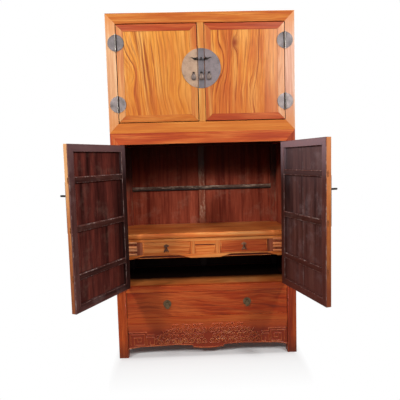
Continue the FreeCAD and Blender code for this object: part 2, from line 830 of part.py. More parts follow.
def build_doors():
    chest_lock = SimpleNamespace(
        radius=s.chest_lock_radius, level=s.chest_lock_level, lug_rise=s.chest_lug_rise)
    cabinet_lock = SimpleNamespace(
        radius=s.cabinet_lock_radius, level=s.cabinet_lock_level, lug_rise=s.cabinet_lug_rise)
    chest_width = inner - s.centre_post / 2 - s.door_side_gap * 2
    cabinet_width = inner - s.door_side_gap - s.door_side_gap / 2
    chest_bottom = chest_low + s.door_end_gap
    chest_door = chest_high - s.door_end_gap - chest_bottom
    cabinet_bottom = s.floor_level + s.door_end_gap
    cabinet_door = cabinet_rail_low - s.door_end_gap - cabinet_bottom
    angles = {LEFT: -s.left_door_angle, RIGHT: s.right_door_angle}
    leaves = []
    pins = []
    for word, side in (("left", LEFT), ("right", RIGHT)):
        build_door(
            f"upper_{word}_door", side, chest_width, chest_bottom, chest_door, 2,
            s.chest_hinge_inset, chest_lock,
        )
        build_door(
            f"lower_{word}_door", side, cabinet_width, cabinet_bottom, cabinet_door, 3,
            s.cabinet_hinge_inset, cabinet_lock, angles[side],
        )
        x = axis_x * side
        for bottom, height, inset in (
            (chest_bottom, chest_door, s.chest_hinge_inset),
            (cabinet_bottom, cabinet_door, s.cabinet_hinge_inset),
        ):
            for level in (bottom + inset, bottom + height - inset):
                leaves.append(hinge_leaf("post_leaf", side, x, axis_y, level, POST_KNUCKLES))
                pins.append(hinge_pin(x, level))
    node("hinge_post_leaves", leaves)
    node("hinge_pins", pins)

    plate_y = (front - s.lock_plate, front)
    disc = cylinder(
        "centre_disc", "y", (ZERO, plate_y[0], s.chest_lock_level), s.chest_lock_radius, s.lock_plate)
    limit = box(
        "centre_limit",
        middle(ZERO, ZERO, s.centre_post - s.lock_edge_gap * 2),
        plate_y,
        (s.chest_lock_level - s.chest_lock_radius, s.chest_lock_level + s.chest_lock_radius),
    )
    pendant_z = s.chest_lock_level - s.pendant_drop
    hardware = [
        common("centre_strip", disc, limit),
        lug("centre_lug", ZERO, plate_y[0], s.chest_lock_level + s.chest_lug_rise),
        staple("centre_staple", ZERO, plate_y[0], pendant_z),
    ]
    node("centre_lock_plate", hardware)
    pendant("centre_pendant", ZERO, plate_y[0], pendant_z, s.lock_pendant_width, s.lock_pendant_length)


# Drawers

def build_drawer(name, x, face, z, depth):
    """A drawer front and a grooved box behind it; returns the front's middle and face."""
    back_of_front = face + s.drawer_front
    end = back_of_front + depth
    foot = z[0] - s.drawer_gap + s.drawer_rest_gap
    wall_z = (foot, z[1] - s.drawer_wall_drop)
    board = box(name + "_front_board", x, (face, back_of_front), z)
    walls = [
        box(name + "_side", (x[0], x[0] + s.drawer_wall), (back_of_front, end), wall_z),
        box(name + "_side", (x[1] - s.drawer_wall, x[1]), (back_of_front, end), wall_z),
        box(
            name + "_back", (x[0] + s.drawer_wall, x[1] - s.drawer_wall),
            (end - s.drawer_wall, end), wall_z,
        ),
    ]
    inset = s.drawer_wall - s.drawer_groove
    bottom_z = (foot + s.drawer_bottom_lift, foot + s.drawer_bottom_lift + s.drawer_bottom)
    bottom = box(
        name + "_bottom", (x[0] + inset, x[1] - inset),
        (back_of_front - s.drawer_groove, end - inset), bottom_z,
    )
    node(name + "_front", [board], [bottom])
    grooved = carve(name + "_walls", group(name + "_boards", walls), [bottom])
    node(name + "_box", [grooved, bottom])


def pull_base(name, x, face, rose_z, radius, staple_z):
    """A round rose on a drawer front with its staple."""
    rose = cylinder(name + "_rose", "y", (x, face - s.rose, rose_z), radius, s.rose)
    return fuse(name, [rose, staple(name + "_staple", x, face - s.rose, staple_z)])


def build_bottom_drawer():
    gap = s.drawer_gap
    face = front + s.bottom_drawer_inset
    z = (drawer_rail_top + gap, floor_rail_low - gap)
    x = (-inner + gap, inner - gap)
    build_drawer("bottom_drawer", x, face, z, s.bottom_drawer_depth)
    centre = (z[0] + z[1]) / 2
    roses = []
    pull_z = centre + s.bottom_pull_rise
    for word, side in (("left", LEFT), ("right", RIGHT)):
        pull_x = s.bottom_pull_spacing / 2 * side
        rose_z = centre + s.bottom_rose_rise
        roses.append(pull_base("bottom_pull_base", pull_x, face, rose_z, s.bottom_rose_radius, pull_z))
        pendant(
            f"bottom_drawer_{word}_pull", pull_x, face - s.rose, pull_z,
            s.bottom_pull_width, s.bottom_pull_length,
        )
    node("bottom_drawer_pull_bases", roses)

    runner_y = (front_rail_y[1], back_rail_y[0])
    runner_z = (drawer_rail_top - s.runner_height, drawer_rail_top)
    runners = []
    for side in (LEFT, RIGHT):
        runners.append(box("runner", span(side, inner - s.runner, inner), runner_y, runner_z))
    node("bottom_drawer_runners", runners)


# Shelf and drawer case inside the lower cabinet

def build_case(uprights):
    """The shelf and the drawers under it, notched round the uprights at the back."""
    shelf_low = s.shelf_level - s.shelf_edge
    shelf_under = s.shelf_level - s.shelf_board
    opening =(shelf_low - s.case_rail - s.small_drawer_opening, shelf_low - s.case_rail)
    shelf_front = front + s.shelf_setback
    face = shelf_front + s.shelf_nosing
    case_y = (face, face + s.case_frame)
    case_end = side_panel_in
    centre = s.case_centre / 2
    drawer_in = centre + s.case_stile
    stile_out = case_end - s.case_end_block
    drawer_out = stile_out - s.case_stile

    shelf_outline = [
        (face, shelf_low),
        (face, s.shelf_level - s.shelf_bead - s.shelf_cove),
        (shelf_front, s.shelf_level - s.shelf_bead),
        (shelf_front, s.shelf_level),
        (back_panel_y[0], s.shelf_level),
        (back_panel_y[0], shelf_under),
        (case_y[1], shelf_under),
        (case_y[1], shelf_low),
    ]
    shelf = profile("shelf_plank", "YZ_Plane", shelf_outline, case_end * 2)
    node("shelf_board", [put(shelf, x=-case_end)], uprights)

    members = [box("case_top_rail", (-case_end, case_end), case_y, (opening[1], shelf_low))]
    for side in (LEFT, RIGHT):
        for low, high in ((centre, drawer_in), (drawer_out, stile_out)):
            members.append(box("case_stile_bar", span(side, low, high), case_y, opening))
        members.append(box("case_end_block", span(side, stile_out, case_end), case_y, opening))
    members.append(box(
        "case_centre_board", (-centre, centre),
        (case_y[0] + s.case_centre_recess, case_y[1]), opening,
    ))
    node("drawer_case_front", members)
    build_case_apron(case_y, case_end, opening[0])

    floor_y = (case_y[1], back_panel_y[0])
    floor = box("case_floor_board", (-case_end, case_end), floor_y, (opening[0] - s.case_floor, opening[0]))
    guides = []
    for side in (LEFT, RIGHT):
        for low, high in ((drawer_in - s.case_guide, drawer_in), (drawer_out, drawer_out + s.case_guide)):
            guides.append(box("case_guide_bar", span(side, low, high), floor_y, (opening[0], shelf_under)))
    node("drawer_case_floor_and_guides", [floor] + guides, uprights)

    gap = s.drawer_gap
    for word, side in (("left", LEFT), ("right", RIGHT)):
        name = f"{word}_small_drawer"
        x = span(side, drawer_in + gap, drawer_out - gap)
        z = (opening[0] + gap, opening[1] - gap)
        drawer_face = face + s.small_drawer_inset
        build_drawer(name, x, drawer_face, z, s.small_drawer_depth)
        pull_x = (x[0] + x[1]) / 2
        pull_z = (z[0] + z[1]) / 2 + s.small_pull_rise
        base = pull_base(name + "_base", pull_x, drawer_face, pull_z, s.small_rose_radius, pull_z)
        node(name + "_pull_base", [base])
        pendant(
            name + "_pull", pull_x, drawer_face - s.rose, pull_z,
            s.small_pull_width, s.small_pull_length,
        )


def build_case_apron(case_y, case_end, top):
    """A narrow board under the small drawers, deeper at its ends and middle."""
    neck = top - s.case_apron_neck
    low = top - s.case_apron
    lobe = s.case_centre / 2 + s.case_stile
    foot = case_end - s.case_apron_foot
    half_edge = [
        (case_end, low),
        (foot, low),
        (foot - s.case_apron_curve, neck),
        (lobe + s.case_apron_curve, neck),
        (lobe, low),
    ]
    mirrored = [(-across, up) for across, up in reversed(half_edge)]
    outline = [(-case_end, top), (case_end, top)] + half_edge + mirrored
    board = profile("case_apron_board", "XZ_Plane", outline, s.case_frame)
    node("drawer_case_apron", [put(board, y=case_y[0])])


cabinet_uprights = build_cabinet()
build_aprons()
build_chest()
build_case(cabinet_uprights)
build_bottom_drawer()
build_doors()
doc.recompute()

for item in doc.Objects:
    if "Invalid" in item.State or "Error" in item.State:
        raise RuntimeError(f"{item.Label} did not recompute: {item.State}")
for item in NODES:
    if item.Shape.isNull() or not item.Shape.isValid():
        raise RuntimeError(f"{item.Label} has no valid shape")

os.makedirs("parts", exist_ok=True)
for item in NODES:
    item.Shape.exportStep(f"parts/{item.Label}.step")
    print(item.Label, len(item.Shape.Solids), round(item.Shape.Volume / 1000), "cm3")
print(len(NODES), "nodes")
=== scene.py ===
import json
import math
from functools import partial

import bmesh
import bpy
import numpy as np
from mathutils import Matrix, Vector, kdtree


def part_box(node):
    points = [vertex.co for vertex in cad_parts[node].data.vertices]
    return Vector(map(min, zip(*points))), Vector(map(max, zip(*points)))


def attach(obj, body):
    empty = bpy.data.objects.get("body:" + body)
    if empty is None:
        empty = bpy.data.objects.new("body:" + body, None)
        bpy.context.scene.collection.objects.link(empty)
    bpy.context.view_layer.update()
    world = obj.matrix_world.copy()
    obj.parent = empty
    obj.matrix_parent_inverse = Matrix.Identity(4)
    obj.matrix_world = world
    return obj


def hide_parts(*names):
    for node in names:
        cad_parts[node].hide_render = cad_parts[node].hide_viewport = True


# Looks of a Chinese compound cabinet. Lengths are in metres unless a name says millimetres.

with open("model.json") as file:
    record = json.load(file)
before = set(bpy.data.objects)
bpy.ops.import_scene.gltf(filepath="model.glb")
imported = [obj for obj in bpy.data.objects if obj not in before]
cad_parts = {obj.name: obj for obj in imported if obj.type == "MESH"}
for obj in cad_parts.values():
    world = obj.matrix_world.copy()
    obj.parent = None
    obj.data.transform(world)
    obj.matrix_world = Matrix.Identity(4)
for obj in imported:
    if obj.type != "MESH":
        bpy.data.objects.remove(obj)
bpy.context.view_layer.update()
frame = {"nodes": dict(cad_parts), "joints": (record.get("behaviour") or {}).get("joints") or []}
nodes = frame["nodes"]
joints = {joint["name"]: joint for joint in frame["joints"]}

MM = 0.001
LEFT, RIGHT = -1, 1
SIDES = (("left", LEFT), ("right", RIGHT))
DOORS = [(f"{tier}_{word}_door", tier, word, side) for tier in ("upper", "lower") for word, side in SIDES]

# Levels and lines read from the frame
front_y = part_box("hat_chest_front_rails")[0].y
opening_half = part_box("front_apron")[1].x
cabinet_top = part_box("lower_posts")[1].z
floor_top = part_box("lower_floor_panel")[1].z
shelf_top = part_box("shelf_board")[1].z
chest_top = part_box("hat_chest_posts")[1].z
hinge_axis = Vector(joints["upper_right_door_hinge"]["pos_m"])


# Colours and shader nodes

def linear(hex_text):
    """An sRGB hex colour as linear RGBA."""
    values = [int(hex_text[place:place + 2], 16) / 255 for place in (1, 3, 5)]
    return [v / 12.92 if v <= 0.04045 else ((v + 0.055) / 1.055) ** 2.4 for v in values] + [1.0]


def grey(value):
    return (value, value, value, 1.0)


def add(tree, kind, *values, stops=(), output=0, **named):
    """Add a shader node and give back one of its outputs: values go to its first sockets, capitalised names
    to the sockets of that name, other names to its properties, and stops to its ramp."""
    made = tree.nodes.new("ShaderNode" + kind)
    inputs = dict(enumerate(values))
    for name, value in named.items():
        if name[0].isupper():
            inputs[name.replace("_", " ")] = value
        else:
            setattr(made, name, value)
    for key, value in inputs.items():
        if isinstance(value, bpy.types.NodeSocket):
            tree.links.new(value, made.inputs[key])
        else:
            made.inputs[key].default_value = value
    if stops:
        elements = made.color_ramp.elements
        while len(elements) < len(stops):
            elements.new(1.0)
        for element, (place, colour) in zip(elements, stops):
            element.position = place
            element.color = colour
    return made.outputs[output] if len(made.outputs) else None


def new_material(name):
    """An empty material and the function that adds nodes to it."""
    material = bpy.data.materials.new(name)
    material.use_nodes = True
    material.node_tree.nodes.clear()
    return material, partial(add, material.node_tree)


def lay_over(n, colour, layers):
    """Lay tones over a colour: pattern, where it starts and ends, its share at both, and the tone."""
    for pattern, start, end, share, full_share, tone in layers:
        amount = n("MapRange", pattern, start, end, share, full_share)
        colour = n("Mix", Factor=amount, A=colour, B=tone, output=2, data_type="RGBA")
    return colour


def close_material(n, relief, strength, depth_mm, **sockets):
    """The last nodes of a finish: its relief, its shader and the output."""
    bump = n("Bump", Height=relief, Strength=strength, Distance=depth_mm * MM)
    n("OutputMaterial", n("BsdfPrincipled", Normal=bump, **sockets))


# Woods

BOARD_AXES = {"x": ("Z", "Y", "X"), "y": ("X", "Z", "Y"), "z": ("X", "Y", "Z")}
# how far apart in the wood the boards of one seed and the next were cut
LOG_STEP = (1.7, 0.9, 2.3)
# grains of each pattern in a metre: fibres of 1.6 mm, coarser than real ones so that they show, threads of
# 7 mm, rags of 33 mm at the end of a fade, wanderings of 110 mm in the rings, and patches of 200 mm
FIBRES, THREADS, RAGS, WANDERINGS, PATCHES = 640, 150, 30, 9, 5
# along the grain a band of colour keeps its tone for about half a metre
FLOW_PER_METRE = 4.5
# summer wood darkens slowly and stops sharply: place within a ring and darkness
SEASON = ((0.0, 0.6), (0.08, 0.02), (0.45, 0.06), (0.7, 0.35), (0.86, 1.0), (0.97, 0.95))


def board_space(n, along, seed):
    """The axes of a piece, and a board's own coordinates, the third along its grain: as they lie, and moved
    to another log."""
    split = n("SeparateXYZ", n("TexCoord", output="Object")).node.outputs
    plain = n("CombineXYZ", *(split[letter] for letter in BOARD_AXES[along]))
    moved = n("Mapping", Vector=plain, Location=[step * seed for step in LOG_STEP])
    return split, plain, moved


def growth_rings(n, plain, board, seed, ring_mm, heart_mm, wander_mm, tilt, eyes):
    """Distance from the log's heart in rings, uneven as it grew, coordinates that flow with them, and the
    dark of its eyes and veins."""
    slow = n("Mapping", Vector=board, Scale=(1.0, 1.0, 0.22))
    grown = n("TexNoise", Vector=slow, Scale=WANDERINGS, Detail=3.0, Roughness=0.5, output="Color")
    # noise seldom leaves the middle third of its range, so six times the wander gives its real reach
    swing = 6 * wander_mm * MM
    for step, other in (("SUBTRACT", (0.5, 0.5, 0.5)), ("MULTIPLY", (swing, swing, 0.0)), ("ADD", plain)):
        grown = n("VectorMath", grown, other, operation=step)
    heart = (-heart_mm[0] * MM, -heart_mm[1] * MM, 0.0)
    turned = n("Mapping", Vector=grown, Location=heart, Rotation=tilt)
    flat = n("VectorMath", turned, (1.0, 1.0, 0.0), operation="MULTIPLY")
    radius = n("VectorMath", flat, output="Value", operation="LENGTH")
    height = n("SeparateXYZ", grown, output="Z")
    phase = n("Math", radius, 1 / (ring_mm * MM), operation="MULTIPLY")
    stain = 0.0
    for across_mm, up_mm, half_width_mm, half_height_mm, rings, darkness in eyes:
        near = n(
            "Mapping", vector_type="TEXTURE", Vector=grown, Location=(across_mm * MM, 0.0, up_mm * MM),
            Rotation=[-angle for angle in tilt], Scale=(half_width_mm * MM, 1.0, half_height_mm * MM))
        square = n("VectorMath", near, near, output="Value", operation="DOT_PRODUCT")
        fall = n("Math", square, -1.0, operation="MULTIPLY")
        bell = n("Math", fall, operation="EXPONENT")
        phase = n("Math", bell, rings, phase, operation="MULTIPLY_ADD")
        stain = n("Math", bell, darkness, stain, operation="MULTIPLY_ADD")
    length = n("Math", height, FLOW_PER_METRE, operation="MULTIPLY")
    flow = n("CombineXYZ", phase, float(seed), length)
    return slow, flow, phase, stain


def lacquered_wood(
    name, tones, along, seed,
    ring_mm=12, heart_mm=(-140, -190), wander_mm=7, figure=0.8, tilt=(0.02, 0.015, 0.0), eyes=(),
    roughness=0.38, coat=0.05, fades=(),
):
    """Planed hardwood under a thin hand-rubbed lacquer: golden, orange and reddish bands that follow the
    growth rings, wavy dark lines and eyes where the saw cut them, fine pores, and a soft satin gloss.
    Fades are other tones that come in along an axis: its letter, start, end, share and tone."""
    pale, middle, red, dark = (linear(tone) for tone in tones)
    material, n = new_material(name)
    split, plain, board = board_space(n, along, seed)
    slow, flow, phase, stain = growth_rings(n, plain, board, seed, ring_mm, heart_mm, wander_mm, tilt, eyes)
    within = n("Math", phase, operation="FRACT")
    year = n("Math", phase, operation="FLOOR")
    # some years leave a strong line and some hardly any, and a line fades in and out along the board
    luck = n("TexWhiteNoise", W=year, output="Value", noise_dimensions="1D")
    season = n("ValToRGB", within, stops=[(place, grey(darkness)) for place, darkness in SEASON])
    strength = n("MapRange", luck, 0.25, 0.95, 0.08 * figure, figure)
    broken = n("TexNoise", Vector=flow, Scale=1.6, Detail=2.0)
    shown = n("MapRange", broken, 0.36, 0.6, 0.15, 1.0)
    strong = n("Math", season, strength, operation="MULTIPLY")
    line = n("Math", strong, shown, operation="MULTIPLY", use_clamp=True)
    # veins about a third of a ring wide and a quarter of a metre long run beside the rings
    beside = n("Mapping", Vector=flow, Scale=(2.8, 1.0, 0.9))
    vein = n("TexNoise", Vector=beside, Scale=1.0, Detail=2.0)
    # bands about two rings wide, and fibres and threads drawn out along the grain
    band = n("TexNoise", Vector=flow, Scale=0.45, Detail=3.0, Roughness=0.6)
    drawn = n("Mapping", Vector=board, Scale=(1.0, 1.0, 0.03))
    fibre, thread = (
        n("TexNoise", Vector=drawn, Scale=grains, Detail=3.0, Roughness=0.6)
        for grains in (FIBRES, THREADS))
    patch = n("TexNoise", Vector=slow, Scale=PATCHES, Detail=1.5)
    colour = n("ValToRGB", band, stops=[(0.36, pale), (0.5, middle), (0.64, red)])
    layers = [
        (patch, 0.48, 0.72, 0.0, 0.6, red),
        (thread, 0.5, 0.7, 0.0, 0.3 + 0.2 * figure, red),
        (thread, 0.3, 0.47, 0.26 + 0.16 * figure, 0.0, pale),
        (vein, 0.54, 0.66, 0.0, min(0.6, 0.42 * figure), dark),
        (line, 0.0, 1.0, 0.0, 1.0, dark),
        (stain, 0.0, 1.0, 0.0, 1.0, dark),
        (fibre, 0.36, 0.56, 0.28, 0.0, dark),
    ]
    for letter, start, end, share, tone in fades:
        ragged = n("TexNoise", Vector=plain, Scale=RAGS, Detail=4.0)
        shift = n("Math", ragged, 0.5 * (end - start), split[letter], operation="MULTIPLY_ADD")
        layers.append((shift, start, end, 0.0, share, linear(tone)))
    sheen = n("MapRange", thread, 0.2, 0.8, roughness - 0.07, roughness + 0.1)
    close_material(
        n, fibre, 0.12, 0.4, Base_Color=lay_over(n, colour, layers), Roughness=sheen,
        IOR=1.5, Specular_IOR_Level=0.2, Coat_Weight=coat, Coat_Roughness=0.25)
    return material


# grains of each pattern in a metre of lacquer: runs of 38 mm, fine streaks of 4 mm, dust of 110 mm, bends of
# 25 mm in a seam, and chips of 18 mm
RUNS, STREAKS, DUST, BENDS, CHIPS = 26, 240, 9, 40, 55
SEAM_BEND = 12 * MM


def dark_lacquer(name, tones, along, seed, roughness=0.45, gloss=0.15, seam=None, flakes=None, soot=()):
    """Softwood under old dark lacquer: the brown-red film is thin along the grain, streaked where it ran,
    and rubbed to a paler, dustier tone in patches. A seam is the joint between the boards: their width and
    its gap in millimetres, and its tone. Flakes are the pale wood where the film came off. The tone and
    shade fades are tones laid along an axis, mostly a black painted as shade where the cabinet's own parts
    keep the lamps off: the letter of the axis, start, end, share and tone."""
    deep, tone, bright, worn = (linear(text) for text in tones)
    material, n = new_material(name)
    split, plain, board = board_space(n, along, seed)
    drawn = n("Mapping", Vector=board, Scale=(1.0, 1.0, 0.06))
    broad = n("TexNoise", Vector=drawn, Scale=RUNS, Detail=4.0, Roughness=0.6)
    fine = n("TexNoise", Vector=drawn, Scale=STREAKS, Detail=3.0, Roughness=0.6)
    dust = n("TexNoise", Vector=plain, Scale=DUST, Detail=7.0, Roughness=0.72)
    colour = n("ValToRGB", broad, stops=[(0.34, deep), (0.5, tone), (0.66, bright)])
    layers = [(fine, 0.35, 0.65, 0.5, 0.0, deep), (dust, 0.52, 0.78, 0.0, 0.45, worn)]
    if seam:
        board_mm, gap_mm, seam_tone = seam
        bent = n("TexNoise", Vector=drawn, Scale=BENDS, Detail=2.0)
        across = n("Math", bent, SEAM_BEND, split["X"], operation="MULTIPLY_ADD")
        boards = n("Math", across, board_mm * MM, operation="DIVIDE")
        within = n("Math", boards, operation="FRACT")
        gap = n("MapRange", within, 0.0, gap_mm / board_mm, 0.9, 0.0)
        open_here = n("MapRange", dust, 0.4, 0.6)
        broken = n("Math", gap, open_here, operation="MULTIPLY")
        layers.append((broken, 0.0, 1.0, 0.0, 0.8, linear(seam_tone)))
    if flakes:
        long = n("Mapping", Vector=board, Scale=(1.0, 1.0, 0.3))
        chip = n("TexNoise", Vector=long, Scale=CHIPS, Detail=6.0, Roughness=0.7)
        layers.append((chip, 0.5, 0.66, 0.0, 0.8, linear(flakes)))
    for letter, start, end, share, soot_tone in soot:
        layers.append((split[letter], start, end, 0.0, share, linear(soot_tone)))
    sheen = n("MapRange", dust, 0.0, 1.0, roughness - 0.1, roughness + 0.2)
    close_material(
        n, fine, 0.2, 0.5, Base_Color=lay_over(n, colour, layers), Roughness=sheen,
        IOR=1.5, Specular_IOR_Level=gloss)
    return material


# Metals

# grains of each pattern in a metre of sheet: clouds of 45 mm, hammer marks of 14 mm and specks of 2.4 mm
CLOUDS, DENTS, SPECKS = 22, 70, 420


def rubbed_brass(name, tones, seed, roughness=0.42, metallic=0.75):
    """Hammered sheet brass, long unpolished: a grey-brown film, paler where hands rub it, with specks of
    tarnish and shallow hammer marks."""
    pale, tone, tarnish = (linear(text) for text in tones)
    material, n = new_material(name)
    place = n("TexCoord", output="Object")
    moved = n("Mapping", Vector=place, Location=(seed, seed, seed))
    cloud = n("TexNoise", Vector=moved, Scale=CLOUDS, Detail=6.0, Roughness=0.6)
    speck = n("TexNoise", Vector=moved, Scale=SPECKS, Detail=3.0)
    dents = n("TexNoise", Vector=moved, Scale=DENTS, Detail=2.0)
    clouded = n("ValToRGB", cloud, stops=[(0.22, tarnish), (0.42, tone), (0.85, pale)])
    sheen = n("MapRange", cloud, 0.3, 0.75, roughness + 0.12, roughness - 0.08)
    colour = lay_over(n, clouded, [(speck, 0.3, 0.45, 0.4, 0.0, tarnish)])
    close_material(n, dents, 0.08, 0.5, Base_Color=colour, Roughness=sheen, Metallic=metallic)
    return material


# The finishes of this cabinet: tones of each wood from pale to dark, and of each lacquer from deep to dusty

# the chest's posts are pale, and its right post pink, as a painted reflection of the side lamps in the
# lacquer
CHEST_POST_TONES = ("#FACC9E", "#EAB280", "#DC986A", "#BA7A48")
PINK_POST_TONES = ("#F6CEB2", "#ECB698", "#DFA084", "#BE7E62")
CHEST_RAIL_TONES = ("#E49446", "#D0742A", "#BA5622", "#923E0E")
CENTRE_POST_TONES = ("#EAAA5C", "#DE9242", "#CA7236", "#A0561E")
STILE_TONES = ("#EAA868", "#DC8C50", "#CC7242", "#A65826")
MEETING_STILE_TONES = ("#E0964C", "#D27836", "#BC5A2A", "#944216")
PALE_STILE_TONES = ("#F4BA8E", "#E8A070", "#DA8858", "#B46C3C")
DOOR_RAIL_TONES = ("#D46C34", "#BC4E20", "#A63C18", "#7E2A0C")
PANEL_TONES = {
    "left": ("#FAB65C", "#EA9630", "#C86220", "#8E3608"),
    "right": ("#F6AE56", "#E68E32", "#CC6422", "#8E3406"),
}
CABINET_TONES = ("#E07A3A", "#CA5824", "#B2421C", "#862F10")
BASE_TONES = ("#D2652F", "#B44016", "#942D10", "#5C1A08")
LEFT_POST_TONES = ("#E48040", "#CA5624", "#AA4018", "#6E260C")
DARK_POST_TONES = ("#C8622E", "#AC3F18", "#8E2E12", "#5C1C0A")
APRON_TONES = ("#F09A5A", "#DA723A", "#B85224", "#7E3014")
DRAWER_TONES = ("#F29C54", "#DE7836", "#C45626", "#8A3C14")
RED_DRAWER_TONES = ("#EA8C46", "#D4642C", "#B84620", "#7E2E12")
SHELF_TONES = ("#FFB468", "#F29046", "#DC6C2E", "#A84E1E")
FLOOR_TONES = ("#EE9C5A", "#D87C3C", "#BC5C2A", "#84421E")
# the end beads are paler than the shelf, a painted highlight on their rounds
END_BEAD_TONES = ("#FFCC9C", "#FFAC72", "#EE8A50", "#B45E2C")
BLOCK_TONES = ("#AC6040", "#92482E", "#783820", "#522414")
FOOT_TONES = ("#8A3620", "#6A2414", "#54180E", "#300E08")
TENON_TONES = ("#B87448", "#98562E", "#804022", "#5A2814")
LACQUER_TONES = ("#6A281C", "#9E4A34", "#B65A40", "#B98A72")
MUNTIN_TONES = ("#84422E", "#A4583E", "#BC6C4E", "#C4A08A")
BACK_TONES = ("#2A0E0A", "#5E2A1E", "#7C3C2A", "#8A6A5A")
LEFT_LINING_TONES = ("#2C100E", "#66302A", "#8E4438", "#8A6A5E")
RIGHT_LINING_TONES = ("#342020", "#684440", "#7E5850", "#A8979A")
LEFT_FRAME_TONES = ("#321A1A", "#66403C", "#7C504A", "#9A807C")
RIGHT_FRAME_TONES = ("#371C19", "#6A3C35", "#7A4A42", "#A08A8A")
BATTEN_TONES = ("#3E2A22", "#6E5346", "#8E7060", "#CDB6A2")
DOOR_BATTEN_TONES = ("#24100E", "#4E2C27", "#5E3831", "#8E736C")

# a black painted as shade inside the cabinet: at the top under the top rail, and below the drawer case
PAINTED_SHADE_BLACK = "#140605"
FOOT_SHADE = ("Z", 0.68, 0.60, 0.96, PAINTED_SHADE_BLACK)
# the walls are glued from upright boards of this width, with gaps of this size
WALL_BOARD_MM, WALL_GAP_MM = 168, 3.5
# the inside's lacquers take that painted shade towards the top and at the foot
inside = {
    axis: dark_lacquer(
        "dark_lacquer_" + axis, LACQUER_TONES, axis, 3 + number, gloss=0.06,
        seam=(WALL_BOARD_MM, WALL_GAP_MM, "#35120C") if axis == "z" else None,
        soot=(("Z", 0.98, 1.34, 0.72, PAINTED_SHADE_BLACK), FOOT_SHADE))
    for number, axis in enumerate("xyz")
}
back_lacquer = dark_lacquer("back_lacquer", BACK_TONES, "z", 6, seam=(WALL_BOARD_MM, WALL_GAP_MM, "#1C0A07"))
# the muntin and the back posts darken towards the top: painted shade under the top rail
flaked = dark_lacquer(
    "flaked_lacquer", MUNTIN_TONES, "z", 7, flakes="#D6B094",
    soot=(("Z", 1.01, 1.20, 0.9, PAINTED_SHADE_BLACK), FOOT_SHADE))
flaked_post = dark_lacquer(
    "flaked_post_lacquer", LACQUER_TONES, "z", 7, flakes="#94664E",
    soot=(("Z", 0.96, 1.12, 0.85, PAINTED_SHADE_BLACK), FOOT_SHADE))
# pale flakes on the rubbed inner edges of the doors: partly worn lacquer and partly a painted highlight
worn_and_highlit_edge = dark_lacquer("rubbed_lacquer_edge", RIGHT_FRAME_TONES, "z", 8, flakes="#BCA8A0")
plate_brass = rubbed_brass("rubbed_sheet_brass", ("#86797A", "#6A6061", "#423B39"), 1.0)
hinge_brass = rubbed_brass("dull_sheet_brass", ("#746C6C", "#575151", "#363130"), 1.5)
pale_brass = rubbed_brass("pale_sheet_brass", ("#968A88", "#716866", "#46403E"), 1.5)
centre_brass = rubbed_brass("shaded_sheet_brass", ("#766E72", "#5A5558", "#383436"), 1.0)
pendant_brass = rubbed_brass("worn_drop_brass", ("#6E615B", "#645650", "#483C36"), 7.0)
groove_brass = rubbed_brass("grooved_drop_brass", ("#584B45", "#4C403A", "#322926"), 7.0)
warm_brass = rubbed_brass("warm_sheet_brass", ("#B0957C", "#957A66", "#6C5848"), 2.0)
barrel_brass = rubbed_brass("turned_brass", ("#A8A09A", "#7E7772", "#4A4542"), 5.0, 0.34)
# black brass: the lugs' own colour, and painted shade on the barrels' door sides, plate rims and lug wings
black_and_shade_brass = rubbed_brass("blackened_and_shade_brass", ("#3E352F", "#1E1815", "#0D0A08"), 3.0, 0.45)
pull_bronze = rubbed_brass("olive_bronze", ("#786040", "#543E24", "#342412"), 4.0, metallic=0.4)
drop_bronze = rubbed_brass("brown_bronze", ("#C89068", "#542C14", "#2E1408"), 6.0, 0.35, metallic=0.3)


# Finishes of the CAD nodes

def ease_edges(piece, width_mm, material=-1):
    """Round the edges a little, as a scraper does; material is the slot that the rounds take."""
    ease = piece.modifiers.new("eased_edges", "BEVEL")
    ease.width = width_mm * MM
    ease.segments = 2
    ease.limit_method = "ANGLE"
    ease.angle_limit = math.radians(30)
    ease.material = material
    even = piece.modifiers.new("even_shading", "WEIGHTED_NORMAL")
    even.keep_sharp = True


def dress(name, materials, pick=None, edge_mm=1.2, edge_material=-1):
    """Give a CAD node its finish; pick says which of the materials a face takes, by its middle and normal."""
    piece = nodes[name]
    piece.data.materials.clear()
    for material in materials:
        piece.data.materials.append(material)
    for polygon in piece.data.polygons:
        polygon.material_index = pick(polygon.center, polygon.normal) if pick else 0
    weld = piece.modifiers.new("weld", "WELD")
    weld.merge_threshold = 0.02 * MM
    flatten = piece.modifiers.new("flatten", "DECIMATE")
    flatten.decimate_type = "DISSOLVE"
    flatten.angle_limit = math.radians(0.5)
    flatten.delimit = {"MATERIAL"}
    ease_edges(piece, edge_mm, edge_material)


def back_face(centre, normal):
    return 1 if normal.y > 0.5 else 0


# levels and sizes that tell the members of one node apart
FLOOR_RAIL_RISE = 0.1
CHEST_LID_DEPTH = 0.1
BACK_RAIL_Y = 0.2
MUNTIN_HALF = 22 * MM
BATTEN_LEVEL = 1.028
BATTEN_HALF = 15.5 * MM
# posts darken towards their feet, and the chest's are pale in the middle, a painted reflection of the side
# lamps
FOOT_FADE = ("Z", 0.09, -0.01, 0.75)
CHEST_POST_SHEEN_FADES = [("Z", 1.96, 2.10, 0.85, "#DC8A46"), ("Z", 1.58, 1.40, 0.7, "#DC8C4C")]


